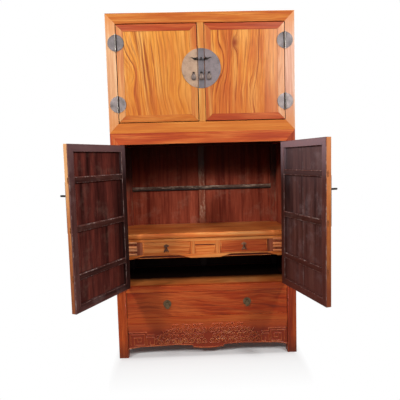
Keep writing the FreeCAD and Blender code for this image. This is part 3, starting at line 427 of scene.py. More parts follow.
def carcass_looks():
    """Posts, rails and panels of both cabinets."""
    lower_post, right_post = (
        lacquered_wood(name, tones, "z", seed, ring_mm=9, figure=0.7, fades=[(*FOOT_FADE, foot)])
        for name, tones, seed, foot in (
            ("cabinet_post_wood", LEFT_POST_TONES, 11, "#4E1E0E"),
            ("cabinet_right_post_wood", DARK_POST_TONES, 9, "#481A0C")))
    chest_post, pink_post = (
        lacquered_wood(name, tones, "z", seed, ring_mm=8, figure=figure, fades=CHEST_POST_SHEEN_FADES)
        for name, tones, seed, figure in (
            ("chest_post_wood", CHEST_POST_TONES, 14, 0.6),
            ("chest_right_post_wood", PINK_POST_TONES, 10, 0.5)))
    lower_rail = lacquered_wood(
        "cabinet_rail_wood", CABINET_TONES, "x", 12, ring_mm=10, figure=0.6,
        fades=[("Z", 0.34, 0.24, 0.5, "#A03A14")])
    lower_side_rail = lacquered_wood("cabinet_side_rail_wood", CABINET_TONES, "y", 13, ring_mm=10, figure=0.6)
    matt_wood = partial(lacquered_wood, tones=CHEST_RAIL_TONES, coat=0.0)
    matt_rail = partial(matt_wood, ring_mm=9, figure=0.55, roughness=0.62)
    chest_rail = matt_rail("chest_rail_wood", along="x", seed=15, fades=[("Z", 1.6, 1.46, 0.4, "#E48838")])
    chest_side_rail = matt_rail("chest_side_rail_wood", along="y", seed=16)
    chest_lid = matt_wood(
        "chest_lid_wood", along="x", seed=19, ring_mm=18, wander_mm=20, figure=0.7, roughness=0.7)
    broad_panel = partial(lacquered_wood, along="z", ring_mm=20, wander_mm=22, figure=0.8)
    side_panel = broad_panel("side_panel_wood", CABINET_TONES, seed=17)
    chest_panel = broad_panel("chest_side_panel_wood", PANEL_TONES["left"], seed=18)

    def post_face(centre, normal):
        inward = normal.x * centre.x < -0.3 * abs(centre.x) or normal.y * centre.y < -0.3 * abs(centre.y)
        if not inward or centre.z < floor_top:
            return 3 if centre.x > 0 else 0
        return 2 if centre.y > 0 else 1

    dress("lower_posts", [lower_post, inside["z"], flaked_post, right_post], post_face)
    dress("hat_chest_posts", [chest_post, inside["z"], inside["z"], pink_post], post_face)

    def front_rail_face(centre, normal):
        hidden = normal.y > 0.5 or normal.z < -0.5
        return 1 if hidden and centre.z > floor_top + FLOOR_RAIL_RISE else 0

    dress("lower_front_rails", [lower_rail, inside["x"]], front_rail_face)
    dress("hat_chest_front_rails", [chest_rail, inside["x"]], back_face)

    def side_rail_face(centre, normal):
        if abs(centre.x) > opening_half and abs(normal.y) < 0.5:
            lining = normal.x * centre.x < 0 or (normal.z > 0.5 and centre.z < shelf_top)
            return 2 if lining else 1
        return 2 if normal.y < -0.5 or centre.y < BACK_RAIL_Y else 0

    dress("lower_side_and_back_rails", [lower_rail, lower_side_rail, inside["y"]], side_rail_face)
    dress("hat_chest_side_and_back_rails", [chest_rail, chest_side_rail, inside["y"]], side_rail_face)

    def wall_face(centre, normal):
        return 1 if normal.x * centre.x < 0 else 0

    def lid_face(centre, normal):
        return 1 if normal.z > 0.5 and centre.z > chest_top - CHEST_LID_DEPTH else 0

    dress("lower_side_panels", [side_panel, inside["z"]], wall_face)
    dress("hat_chest_side_panels", [chest_panel, inside["z"]], wall_face)
    for name in ("lower_back_panels", "hat_chest_back_panels"):
        dress(name, [inside["z"], back_lacquer], back_face)
    dress("hat_chest_back_muntin", [flaked, back_lacquer], back_face)
    for name in ("lower_top_panel", "bottom_drawer_runners"):
        dress(name, [inside["x"]])
    dress("hat_chest_top_and_floor_panels", [inside["x"], chest_lid], lid_face)
    floor_wood = lacquered_wood(
        "cabinet_floor_wood", FLOOR_TONES, "x", 30, fades=[("Y", -0.12, -0.04, 1.0, "#150806")])
    dress("lower_floor_panel", [floor_wood])
    dress("hat_chest_centre_post", [
        lacquered_wood("centre_post_wood", CENTRE_POST_TONES, "z", 20, ring_mm=8, figure=0.5)])
    dress("side_aprons", [lacquered_wood("side_apron_wood", BASE_TONES, "y", 21, ring_mm=14)])

    # the batten's lower half is painted black as shade under its top edge
    batten = dark_lacquer(
        "rubbed_batten_lacquer", BATTEN_TONES, "x", 9, flakes="#C4AC96",
        soot=[("Z", BATTEN_LEVEL + 4 * MM, BATTEN_LEVEL - 8 * MM, 0.9, PAINTED_SHADE_BLACK)])

    def back_member(centre, normal):
        if normal.y > 0.5:
            return 2
        return 0 if abs(centre.x) < MUNTIN_HALF else 1

    dress("lower_back_muntin_and_battens", [flaked, batten, back_lacquer], back_member, edge_mm=1.5)
    # the batten is lapped over the muntin
    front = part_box("lower_back_muntin_and_battens")[0].y
    bar = rectangle(-opening_half, opening_half, BATTEN_LEVEL - BATTEN_HALF, BATTEN_LEVEL + BATTEN_HALF)
    make_piece(
        "back_batten_lap", slab(bar, front - 2 * MM, front + 12 * MM), [batten], "carcass", "inner_wood",
        edge_mm=3.0)


# top rail of the drawer case with the shelf on it, and the stiles beside its centre panel
CASE_TOP_RAIL = 0.054
CASE_STILE = 0.035


def inner_case_looks():
    """Shelf, drawer case and the three drawers."""
    shelf = lacquered_wood("shelf_wood", SHELF_TONES, "x", 22, ring_mm=16)
    case = lacquered_wood("case_wood", SHELF_TONES, "x", 23, ring_mm=10, figure=0.6)
    stile = lacquered_wood("case_stile_wood", DRAWER_TONES, "z", 24, ring_mm=9, figure=0.5)
    end_stile = lacquered_wood("case_end_stile_wood", BLOCK_TONES, "z", 25, ring_mm=9)
    dress("shelf_board", [shelf], edge_mm=2.5)
    stile_far, stile_line = (abs(corner.x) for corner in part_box("left_small_drawer_front"))

    def case_face(centre, normal):
        if centre.z > shelf_top - CASE_TOP_RAIL:
            return 0
        across = abs(centre.x)
        inner_stile = stile_line - CASE_STILE < across < stile_line
        return 1 if inner_stile else 2 if across > stile_far else 0

    dress("drawer_case_front", [case, stile, end_stile], case_face)
    dress("drawer_case_apron", [case])
    dress("drawer_case_floor_and_guides", [inside["y"]])
    box_woods = [
        lacquered_wood("drawer_box_wood_" + axis, DRAWER_TONES, axis, 26, figure=0.5, coat=0.0, roughness=0.6)
        for axis in "yx"
    ]

    def box_face(centre, normal):
        return 1 if abs(normal.y) > 0.5 else 0

    for word, side in SIDES:
        tones = DRAWER_TONES if side == LEFT else RED_DRAWER_TONES
        front = lacquered_wood(
            f"{word}_small_drawer_wood", tones, "x", 28 + side, ring_mm=14, wander_mm=14, figure=0.9)
        dress(f"{word}_small_drawer_front", [front], edge_mm=2.0)
        dress(f"{word}_small_drawer_box", box_woods, box_face)
        dress(f"{word}_small_drawer_pull_base", [drop_bronze], edge_mm=0.5)
        dress(f"{word}_small_drawer_pull", [drop_bronze], edge_mm=0.9)
        dress(f"bottom_drawer_{word}_pull", [pull_bronze])
    wide = lacquered_wood(
        "bottom_drawer_wood", BASE_TONES, "x", 32, ring_mm=15, wander_mm=14, figure=0.95, heart_mm=(60, 150))
    dress("bottom_drawer_front", [wide])
    dress("bottom_drawer_box", box_woods, box_face)
    dress("bottom_drawer_pull_bases", [pull_bronze], edge_mm=0.6)


# metal this near to a hinge's axis is its barrel
BARREL_REACH = 6.6 * MM
# metal in front of this depth from a hinge's axis belongs to a lug
LUG_FOOT = 3.5 * MM


def hardware_looks():
    """Hinges and lock plates."""
    def hinge_face(centre, normal):
        """Plate, bright side of the barrel, its dark side, which is towards the door and painted black as
        shade, or one of the chest's lower plates, which are paler."""
        off = math.hypot(abs(centre.x) - abs(hinge_axis.x), centre.y - hinge_axis.y)
        if off > BARREL_REACH:
            return 3 if cabinet_top < centre.z < hinge_axis.z else 0
        return 2 if normal.x * centre.x < 0 else 1

    def lug_face(place, centre, normal):
        return 1 if (place.inverted() @ centre).y < LUG_FOOT else 0

    hinge_metals = [hinge_brass, barrel_brass, black_and_shade_brass, pale_brass]
    # the rounded edges of the leaves and lock plates are black, partly tarnish and partly a painted rim of
    # shade
    hinge_leaves = partial(dress, materials=hinge_metals, pick=hinge_face, edge_mm=1.0, edge_material=2)
    lock_plate = partial(dress, edge_mm=1.0, edge_material=1)
    hinge_leaves("hinge_post_leaves")
    dress("hinge_pins", [barrel_brass], edge_mm=0.5)
    centre_face = partial(lug_face, Matrix.Translation(hinge_axis))
    lock_plate("centre_lock_plate", [centre_brass, black_and_shade_brass], centre_face)
    for door, *_ in DOORS:
        sheet = warm_brass if door == "upper_left_door" else plate_brass
        hinge_leaves(door + "_hinge_leaves")
        lock_plate(door + "_lock_plate", [sheet, black_and_shade_brass], partial(lug_face, shut_frame(door)))


# Pieces made here

def make_piece(name, shape, materials, body, slot, place=None, pick=None, edge_mm=0.0):
    """A mesh from its points and faces, which rides on a body."""
    points, faces = shape
    mesh = bpy.data.meshes.new(name)
    mesh.from_pydata(points, [], faces)
    piece = bpy.data.objects.new(name, mesh)
    bpy.context.scene.collection.objects.link(piece)
    build = bmesh.new()
    build.from_mesh(mesh)
    bmesh.ops.recalc_face_normals(build, faces=build.faces)
    build.to_mesh(mesh)
    build.free()
    for material in materials:
        mesh.materials.append(material)
    for polygon in mesh.polygons:
        polygon.use_smooth = True
        polygon.material_index = pick(polygon.center, polygon.normal) if pick else 0
    if place:
        piece.matrix_world = place
    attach(piece, body)
    if edge_mm:
        ease_edges(piece, edge_mm)
    return piece


def rectangle(x0, x1, z0, z1):
    return [(x0, z0), (x1, z0), (x1, z1), (x0, z1)]


def slab(outline, y0, y1):
    """Points and faces of a board from its outline in X and Z, between two depths."""
    count = len(outline)
    points = [(x, y0, z) for x, z in outline] + [(x, y1, z) for x, z in outline]
    sides = [(i, (i + 1) % count, count + (i + 1) % count, count + i) for i in range(count)]
    return points, [tuple(range(count)), tuple(range(2 * count - 1, count - 1, -1))] + sides


# Doors, built in their own frame: hinge axis at X = 0, Y = 0

DOOR_MEMBER = 0.040
DOOR_PANEL_RECESS = 0.002
DOOR_PANEL = 0.012
DOOR_TONGUE = 0.006
DOOR_BATTEN = 0.034
DOOR_BATTEN_DEPTH = 0.015
DOOR_BATTEN_SPACING = 0.252
DOOR_TENON = 0.026
DOOR_PARTS = ("left_stile", "right_stile", "bottom_rail", "top_rail")
PART_GRAINS = dict(zip(DOOR_PARTS, "zzxx"))
# how far the upper doors are planed back at the hinge side and the free side, and at both ends
DOOR_SLACK_MM = {LEFT: (2.4, 2.6), RIGHT: (1.4, 0.8)}
DOOR_END_SLACK = 1.2 * MM
# how wide the lacquer is rubbed from the members and the battens
MEMBER_RUB_MM, BATTEN_RUB_MM = 2.2, 5.0

# The figure of the door panels: where the log's heart lies (mm across and behind), how far it leans, and
# its eyes and dark veins: place across and up from the hinge's middle, half width, half height (mm), rings
# that they push aside, and how dark they are
PANEL_HEARTS = {LEFT: (540, 130), RIGHT: (-640, 130)}
PANEL_LEANS = {LEFT: 0.12, RIGHT: -0.03}
PANEL_EYES = {
    LEFT: (
        (98, 10, 40, 120, 2.2, 0.0), (120, -230, 50, 90, 1.2, 0.0), (330, -120, 70, 110, -1.6, 0.0),
        (164, 0, 6, 260, 0.0, 1.0), (194, -40, 5, 240, 0.0, 0.95), (118, -200, 6, 90, 0.0, 0.8),
        (116, 190, 6, 90, 0.0, 0.85),
    ),
    RIGHT: (
        (-372, 60, 40, 110, -1.8, 0.0), (-200, -140, 60, 150, 1.6, 0.0), (-298, 170, 24, 38, 2.0, 1.0),
        (-115, -150, 6, 110, 0.0, 0.8),
    ),
}
# the left panel is golden towards its free side, the right one pale beside its hinges, and both are redder
# towards the bottom
PANEL_FADES = {
    "left": [("X", 0.19, 0.30, 0.35, "#EA9E42"), ("Z", -0.05, -0.24, 0.45, "#C86420")],
    "right": [("X", -0.12, -0.05, 0.45, "#EEAA76"), ("Z", -0.05, -0.24, 0.42, "#C8622A")],
}
UPPER_FACE_TONES = {
    "left": (STILE_TONES, MEETING_STILE_TONES, CHEST_RAIL_TONES, DOOR_RAIL_TONES),
    "right": (MEETING_STILE_TONES, PALE_STILE_TONES, DOOR_RAIL_TONES, DOOR_RAIL_TONES),
}
# How each side's doors differ: tones of the frame's and the panel's lacquer, their gloss, seam and dust,
# the lower doors' edges (tones, paler top, redder foot, depth in mm where the lining laps over them),
# and on the right an inner side that is greyer at the top and redder below
DOOR_AGE = {
    "left": {
        "frame": LEFT_FRAME_TONES, "lining": LEFT_LINING_TONES, "gloss": 0.1,
        "seam": (150, 3.5, "#1C0A08"), "dust": "#86686A", "soot": [],
        "edge": (STILE_TONES, "#F2BC84", "#8E4A26", 27),
    },
    "right": {
        "frame": RIGHT_FRAME_TONES, "lining": RIGHT_LINING_TONES, "gloss": 0.22,
        "seam": (236, 7.0, "#CFC4C0"), "dust": "#BE9EA6",
        "edge": (MEETING_STILE_TONES, "#DC925E", "#7A3018", 33),
        "soot": [("Z", 0.15, 0.42, 0.35, "#8E7A7E"), ("Z", 0.1, -0.4, 0.6, "#5E2C22")],
    },
}


def shut_frame(door):
    """The place of a door's own frame at rest: the hinge's axis, turned back from the shut pose."""
    hinge = joints[door + "_hinge"]
    turn = math.radians(-hinge["range_deg"][0]) * hinge["axis"][2]
    return Matrix.Translation(hinge["pos_m"]) @ Matrix.Rotation(turn, 4, "Z")


def local_box(node, place):
    """Lowest and highest corner of a CAD node in a door's own frame."""
    back = place.inverted()
    corners = np.array([back @ vertex.co for vertex in nodes[node].data.vertices])
    return Vector(corners.min(0)), Vector(corners.max(0))


def rub_inner_edges(piece, inner_y, width_mm):
    """Rub the lacquer from the straight edges on a door's inner side, whose pale flakes there are partly wear
    and partly a painted highlight; mitres stay as they are.
    """
    mesh = piece.data
    weights = mesh.attributes.new("bevel_weight_edge", "FLOAT", "EDGE")
    for edge in mesh.edges:
        first, second = (mesh.vertices[number].co for number in edge.vertices)
        inner = min(first.y, second.y) > inner_y - 0.1 * MM
        straight = min(abs(first.x - second.x), abs(first.z - second.z)) < 0.1 * MM
        weights.data[edge.index].value = 1.0 if inner and straight else 0.0
    rub = piece.modifiers.new("rubbed_edges", "BEVEL")
    rub.limit_method = "WEIGHT"
    rub.width = width_mm * MM
    rub.segments = 2
    rub.material = 2


def door_woods(door, upper, word, side, seed):
    """Woods of a door's members, of their edges, of its panel and of its tenons."""
    member_wood = partial(lacquered_wood, ring_mm=9, figure=0.6)
    tones = UPPER_FACE_TONES[word] if upper else [CABINET_TONES] * len(DOOR_PARTS)
    faces = {
        part: member_wood(f"{door}_{part}_wood", tones[number], PART_GRAINS[part], seed + number)
        for number, part in enumerate(DOOR_PARTS)
    }
    edges = dict(faces)
    if not upper:
        edge_tones, paler_top, redder_foot, lap_mm = DOOR_AGE[word]["edge"]
        lap = lap_mm * MM
        fades = [
            ("Z", 0.1, 0.5, 0.6, paler_top), ("Z", 0.05, -0.5, 0.9, redder_foot),
            ("Y", lap, lap + 2 * MM, 1.0, DOOR_AGE[word]["frame"][1]),
        ]
        for number, part in enumerate(DOOR_PARTS[:2]):
            edges[part] = member_wood(f"{door}_{part}_edge_wood", edge_tones, "z", seed + number, fades=fades)
    panel = lacquered_wood(
        door + "_panel_wood", PANEL_TONES[word] if upper else CABINET_TONES, "z", seed + 2,
        ring_mm=19, wander_mm=8, figure=1.4, heart_mm=PANEL_HEARTS[side],
        tilt=(0.02, PANEL_LEANS[side], 0.0), eyes=PANEL_EYES[side], fades=PANEL_FADES[word] if upper else ())
    tenon = lacquered_wood(door + "_tenon_wood", TENON_TONES, "x", seed + 3, ring_mm=6)
    return faces, edges, panel, tenon


def door_lacquers(door, word, side, seed):
    """Lacquers of a door's inner side: on its members by their grain, on its panel and on its battens."""
    age = DOOR_AGE[word]
    # the inner side darkens towards the hinge: a black painted as the shade there
    soot = [("X", -side * 0.16, -side * 0.01, 0.8, PAINTED_SHADE_BLACK)] + age["soot"]
    dusty_top = [("Z", 0.22, 0.42, 0.6, age["dust"])]
    lacquer = partial(dark_lacquer, gloss=age["gloss"])
    members = {
        axis: lacquer(f"{door}_lacquer_{axis}", age["frame"], axis, seed + number, soot=soot + dusty_top)
        for number, axis in enumerate("xz")
    }
    panel = lacquer(door + "_panel_lacquer", age["lining"], "z", seed + 3, soot=soot, seam=age["seam"])
    batten = lacquer(door + "_batten_lacquer", DOOR_BATTEN_TONES, "x", seed + 4, soot=soot)
    return members, panel, batten


def build_door(door, tier, word, side, seed):
    """Frame members, panel and battens of one door: bright outside and on the edges, dark inside."""
    upper = tier == "upper"
    place = shut_frame(door)
    low, high = local_box(door + "_frame", place)
    hinge_x, free_x = (low.x, high.x) if side == LEFT else (high.x, low.x)
    way = -side
    if upper:
        # planed a little slack, so that a dark line shows round the door
        hinge_slack, free_slack = (way * slack * MM for slack in DOOR_SLACK_MM[side])
        hinge_x, free_x = hinge_x + hinge_slack, free_x - free_slack
        low = Vector((min(hinge_x, free_x), low.y, low.z + DOOR_END_SLACK))
        high = Vector((max(hinge_x, free_x), high.y, high.z - DOOR_END_SLACK))
    middle = (low + high) / 2
    x0, x1 = low.x + DOOR_MEMBER, high.x - DOOR_MEMBER
    z0, z1 = low.z + DOOR_MEMBER, high.z - DOOR_MEMBER
    faces, edges, panel_wood, tenon_wood = door_woods(door, upper, word, side, seed)
    members, panel_lacquer, batten_lacquer = door_lacquers(door, word, side, seed)

    def lined(centre, normal):
        """Dark on the inner side and on the sides that face the panel; the fourth wood on upright edges."""
        to_panel = normal.x * (centre.x - middle.x) < -0.2 * abs(centre.x - middle.x)
        to_panel = to_panel or normal.z * (centre.z - middle.z) < -0.6 * abs(centre.z - middle.z)
        if normal.y > 0.5 or to_panel:
            return 1
        return 3 if abs(normal.x) > 0.9 else 0

    outlines = {
        "left_stile": [(low.x, low.z), (x0, z0), (x0, z1), (low.x, high.z)],
        "right_stile": [(high.x, low.z), (high.x, high.z), (x1, z1), (x1, z0)],
        "bottom_rail": [(low.x, low.z), (high.x, low.z), (x1, z0), (x0, z0)],
        "top_rail": [(low.x, high.z), (x0, z1), (x1, z1), (high.x, high.z)],
    }
    for part, outline in outlines.items():
        materials = [faces[part], members[PART_GRAINS[part]], worn_and_highlit_edge, edges[part]]
        piece = make_piece(
            f"{door}_{part}", slab(outline, low.y, high.y), materials, door, "outer_wood", place, lined)
        rub_inner_edges(piece, high.y, MEMBER_RUB_MM)
        ease_edges(piece, 1.0)
        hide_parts(door + "_frame")

    panel_front = low.y + DOOR_PANEL_RECESS
    panel_back = panel_front + DOOR_PANEL
    field = rectangle(x0 - DOOR_TONGUE, x1 + DOOR_TONGUE, z0 - DOOR_TONGUE, z1 + DOOR_TONGUE)
    panel = make_piece(
        door + "_panel", slab(field, panel_front, panel_back), [panel_wood, panel_lacquer], door, "door_wood",
        place, back_face, edge_mm=1.0)
    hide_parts(door + "_panel_and_battens")

    def tenon_end(centre, normal):
        return 1 if normal.x * way > 0.5 else 0

    ends = sorted((hinge_x + way * (DOOR_MEMBER - DOOR_TENON), free_x))
    batten_top = panel_back + DOOR_BATTEN_DEPTH
    count = 2 if upper else 3
    for number in range(count):
        level = middle.z + DOOR_BATTEN_SPACING * (number - (count - 1) / 2)
        bar = rectangle(*ends, level - DOOR_BATTEN / 2, level + DOOR_BATTEN / 2)
        batten = make_piece(
            f"{door}_batten_{number + 1}", slab(bar, panel_back, batten_top),
            [batten_lacquer, tenon_wood, worn_and_highlit_edge], door, "inner_wood", place, tenon_end)
        rub_inner_edges(batten, batten_top, BATTEN_RUB_MM)
        ease_edges(batten, 1.5)
        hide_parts(door + "_panel_and_battens")


# Trim of the drawer case and the posts

OUT = Vector((0, -1, 0))
ALONG = Vector((1, 0, 0))
UP = Vector((0, 0, 1))


def half_round(start, end, radius, across, out, bow=6):
    """A half round bead from start to end, flat on its back: across is its width, out its height."""
    angles = [math.pi * step / bow for step in range(bow + 1)]
    points = [
        tuple(Vector(foot) + radius * (math.cos(angle) * across + math.sin(angle) * out))
        for foot in (start, end) for angle in angles
    ]
    count = bow + 1
    faces = [(i, i + 1, count + i + 1, count + i) for i in range(bow)]
    faces += [(0, count, 2 * count - 1, bow), tuple(range(count)), tuple(range(2 * count - 1, count - 1, -1))]
    return points, faces


def merge(shapes):
    """One list of points and faces from several."""
    points, faces = [], []
    for more_points, more_faces in shapes:
        start = len(points)
        points += more_points
        faces += [tuple(start + number for number in face) for face in more_faces]
    return points, faces


def make_border(name, low, high, face_y, body, material, inset=5 * MM, radius=1.6 * MM):
    """A fine raised line round a panel, mitred at its corners by overlap."""
    x0, x1, z0, z1 = low.x + inset, high.x - inset, low.z + inset, high.z - inset
    lines = [(x0, z0, x1, z0, UP), (x0, z1, x1, z1, UP), (x0, z0, x0, z1, ALONG), (x1, z0, x1, z1, ALONG)]
    shapes = [
        half_round((xa, face_y, za), (xb, face_y, zb), radius, across, OUT)
        for xa, za, xb, zb, across in lines]
    make_piece(name, merge(shapes), [material], body, "drawer_wood")


END_BLOCK = 0.438
CASE_WALL = 0.541
NOSING = 17 * MM
# beads on the end blocks: middle above the case's foot and half height, in millimetres
END_BEADS_MM = ((6, 8), (34, 8), (52, 9), (82, 7))
# the centre panel stops short of the drawers, is this high, has a rail over it and lies back in its frame
CENTRE_INSET = 31 * MM
CENTRE_HEIGHT = 61 * MM
CENTRE_RAIL = 24 * MM
CENTRE_RECESS = 4 * MM
CENTRE_BEAD = 3.5 * MM
FOOT_LIP = 2 * MM


def build_case_trim():
    """Nosing of the shelf, beads on the end blocks of the drawer case, and border lines on its panels."""
    case_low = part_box("drawer_case_front")[0]
    shelf_low, shelf_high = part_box("shelf_board")
    apron_low, apron_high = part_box("drawer_case_apron")
    trim = partial(make_piece, body="carcass", slot="drawer_wood")
    thin_wood = partial(lacquered_wood, along="x", ring_mm=9, figure=0.5)
    nosing_wood = lacquered_wood("nosing_wood", SHELF_TONES, "x", 35, ring_mm=14, figure=0.4)
    bead_wood = thin_wood("bead_wood", SHELF_TONES, seed=33)
    end_wood = thin_wood("end_bead_wood", END_BEAD_TONES, seed=38)
    shade_red_wood = thin_wood("case_foot_wood", FOOT_TONES, seed=37)

    def bead(name, half_length, y, z, radius, height, wood, edge_mm, bow=6):
        ends = [(side * half_length, y, z) for _, side in SIDES]
        trim(name, half_round(*ends, radius, UP, OUT * height, bow), [wood], edge_mm=edge_mm)

    bead("shelf_nosing", CASE_WALL, shelf_low.y + 2 * MM, shelf_high.z - NOSING - 1 * MM, NOSING, 0.5,
         nosing_wood, 0.8, 12)
    for word, side in SIDES:
        shapes = []
        for up_mm, half_mm in END_BEADS_MM:
            ends = [(side * x, case_low.y, case_low.z + up_mm * MM) for x in (END_BLOCK, CASE_WALL)]
            shapes.append(half_round(*ends, half_mm * MM, UP, OUT * 0.8, 8))
        trim(f"{word}_end_beads", merge(shapes), [end_wood], edge_mm=0.8)
        low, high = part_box(f"{word}_small_drawer_front")
        make_border(f"{word}_small_drawer_border", low, high, low.y, f"{word}_small_drawer", bead_wood)
    reach = abs(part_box("left_small_drawer_front")[1].x) - CENTRE_INSET
    low = Vector((-reach, 0, case_low.z))
    high = Vector((reach, 0, case_low.z + CENTRE_HEIGHT))
    centre_y = case_low.y + CENTRE_RECESS
    make_border("case_centre_border", low, high, centre_y, "carcass", bead_wood)
    bar = rectangle(-reach, reach, high.z, high.z + CENTRE_RAIL)
    trim("case_centre_rail", slab(bar, case_low.y, case_low.y + 6 * MM), [bead_wood], edge_mm=1.0)
    # a dark red bead under the centre rail, painted as the rail's shadow on the centre panel
    bead("case_centre_bead", reach, centre_y, high.z - CENTRE_BEAD, CENTRE_BEAD, 0.8, shade_red_wood, 0.5)
    # a straight rail behind the shaped edge of the case, dark red partly as painted shade under the arches,
    # with a lip along its foot
    bar = rectangle(-CASE_WALL, CASE_WALL, apron_low.z + 1 * MM, apron_high.z - 10 * MM)
    trim("case_foot_rail", slab(bar, apron_high.y, apron_high.y + 12 * MM), [shade_red_wood], edge_mm=2.0)
    bead("case_foot_lip", CASE_WALL, apron_high.y, apron_low.z + FOOT_LIP, FOOT_LIP, 1.5, bead_wood, 0.5)


def build_post_beads():
    """A fine bead along the inner edge of each front post, below the doors."""
    wood = lacquered_wood("post_bead_wood", BASE_TONES, "z", 34, ring_mm=9, figure=0.5)
    for word, side in SIDES:
        x = side * (opening_half + 6 * MM)
        bead = half_round((x, front_y, 2 * MM), (x, front_y, floor_top - 10 * MM), 3.5 * MM, ALONG, OUT * 0.8)
        make_piece(f"{word}_post_bead", bead, [wood], "carcass", "outer_wood")


# Metal trim

WING_MM = [(0, -5), (9, -7), (18, -3), (26, 3), (40, 9), (27, 10), (17, 7), (8, 8), (0, 6)]
WING_SHEET = 2.2 * MM
PLATE_SHEET = 2.5 * MM
# middle of the lock plates, and how far their lugs stand over it and beside the meeting line
LOCKS = {"upper": (1.774, 0.054, 0.0255), "lower": (1.006, 0.060, 0.0065)}


def build_lock_trim():
    """Wing-shaped feet of the lugs on the lock plates, black partly in their own right and partly as painted
    shade of the lugs.
    """
    for door, tier, _, side in DOORS:
        level, lug_rise, lug_inset = LOCKS[tier]
        place = shut_frame(door)
        face = local_box(door + "_lock_plate", place)[1].y - PLATE_SHEET
        lug_x = side * (lug_inset - abs(hinge_axis.x))
        lug_z = level - place.translation.z + lug_rise
        wing = [(lug_x + side * x * MM, lug_z + z * MM) for x, z in WING_MM]
        make_piece(
            door + "_lug_wing", slab(wing, face - WING_SHEET, face), [black_and_shade_brass], door, "plate_brass", place,
            edge_mm=0.7)


DROP_HALF_WIDTH = 14 * MM
DROP_HALF_HEIGHT = 22 * MM
DROP_MIDDLE = 24 * MM
# how much narrower its upper half is than its lower one
DROP_TAPER = 0.25
DROP_STEPS, EYE_STEPS = 28, 12
# a drop from its back to its crown: size of each outline, and its height over the middle of the sheet in mm
DROP_PROFILE_MM = [
    (0.96, -1.9), (1.0, -0.8), (1.0, 0.6), (0.93, 1.4), (0.84, 1.2), (0.76, 0.7), (0.7, 1.5), (0.4, 1.9)]
# its rolled eye along the staple: place and radius in mm
EYE_PROFILE_MM = ((-4.0, 2.6), (-3.4, 3.6), (-2.0, 4.0), (2.0, 4.0), (3.4, 3.6), (4.0, 2.6))
# the groove round the edge starts at this share of the drop's size
GROOVE_FROM = 0.71


def loft(loops):
    """Points and faces of a closed form through outlines of equal count."""
    count = len(loops[0])
    points = [point for loop in loops for point in loop]
    last = (len(loops) - 1) * count
    ring = [(i, (i + 1) % count) for i in range(count)]
    faces = [
        (row + i, row + j, row + count + j, row + count + i)
        for row in range(0, last, count) for i, j in ring
    ]
    return points, faces + [tuple(range(count)), tuple(range(last, last + count))]


def full_turn(steps):
    return [2 * math.pi * step / steps for step in range(steps)]


def tarnish_and_shade(centre, normal):
    """Black on a drop's eye, and brown in its groove, there partly tarnish in the hollow and partly a painted
    dark outline of shade.
    """
    if centre.z > -4 * MM:
        return 1
    off = math.hypot(centre.x / DROP_HALF_WIDTH, (centre.z + DROP_MIDDLE) / DROP_HALF_HEIGHT)
    return 2 if off > GROOVE_FROM and centre.y < 0 else 0


def build_drops():
    """Egg-shaped drops of the lock plates, with a groove round the edge and a rolled eye on the staple."""
    leaf = [
        [(size * DROP_HALF_WIDTH * math.sin(angle) * (1 - DROP_TAPER * math.cos(angle)), -lift_mm * MM,
          size * DROP_HALF_HEIGHT * math.cos(angle) - DROP_MIDDLE) for angle in full_turn(DROP_STEPS)]
        for size, lift_mm in DROP_PROFILE_MM
    ]
    eye = [
        [(x_mm * MM, radius_mm * MM * math.cos(angle), radius_mm * MM * math.sin(angle))
         for angle in full_turn(EYE_STEPS)]
        for x_mm, radius_mm in EYE_PROFILE_MM
    ]
    shape = merge([loft(leaf), loft(eye)])
    metals = [pendant_brass, black_and_shade_brass, groove_brass]
    doors = [door for door, *_ in DOORS]
    for holder in ["centre"] + doors:
        drop = holder + "_pendant"
        place = Matrix.Translation(joints[drop + "_swing"]["pos_m"])
        if holder in doors:
            place = place @ shut_frame(holder).to_3x3().to_4x4()
        piece = make_piece(drop + "_drop", shape, metals, drop, "plate_brass", place, tarnish_and_shade)
        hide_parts(drop)


BOW_MM = [(0, -3), (6, -5), (12, -7), (17, -3), (17, 3), (12, 6), (6, 4), (2, 7)]
LEG_MM = [(0.5, -8), (4, -9), (9, -20), (17, -36), (12, -41), (6, -28), (1, -15)]
BOW_SHEET = 1.5 * MM
LEG_HALF = 2 * MM


def build_small_pull_trim():
    """A bow-shaped plate behind each small pull, and two spreading legs on its drop."""
    bow_mm = BOW_MM + [(-x, z) for x, z in reversed(BOW_MM) if x]
    for word, _ in SIDES:
        drawer = f"{word}_small_drawer"
        pivot = Vector(joints[drawer + "_pull_swing"]["pos_m"])
        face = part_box(drawer + "_front")[0].y
        bow = [(pivot.x + x * MM, pivot.z + z * MM) for x, z in bow_mm]
        make_piece(
            drawer + "_bow_plate", slab(bow, face - BOW_SHEET, face), [drop_bronze], drawer, "pull_brass",
            edge_mm=0.5)
        legs = []
        for way in (LEFT, RIGHT):
            outline = [(pivot.x + way * x * MM, pivot.z + z * MM) for x, z in LEG_MM]
            legs.append(slab(outline, pivot.y - LEG_HALF, pivot.y + LEG_HALF))
        make_piece(
            drawer + "_drop_legs", merge(legs), [drop_bronze], drawer + "_pull", "pull_brass", edge_mm=0.8)


# Carved front apron

# rows of scrolls: height above the floor and how far they reach to each side
SCROLL_ROWS = ((0.094, 0.325), (0.127, 0.322), (0.160, 0.290), (0.190, 0.225))
SCROLL_START = 0.022
SCROLL_PITCH = 0.039
SCROLL_REACH = 0.0175
SCROLL_TURNS = 1.55
SCROLL_STEPS = 36
# a scroll's eye as a share of its reach, and its line there as a share of the full width
SCROLL_EYE, SCROLL_EYE_LINE = 0.14, 0.7
# square scrolls at the ends: corner, width, height and half width of the line in mm; and the bar that ties
# them to the rest
FRETS = ((0.398, 0.078, 0.088, 0.068, 3.2), (0.338, 0.078, 0.048, 0.048, 3.0))
FRET_PITCH = 0.021
TIE_BAR = [(0.340, 0.142), (0.384, 0.142), (0.384, 0.160), (0.496, 0.160)]
# half widths of the other raised lines
SCROLL_LINE_MM, STEM_LINE_MM, EDGE_LINE_MM = 3.0, 2.4, 3.2


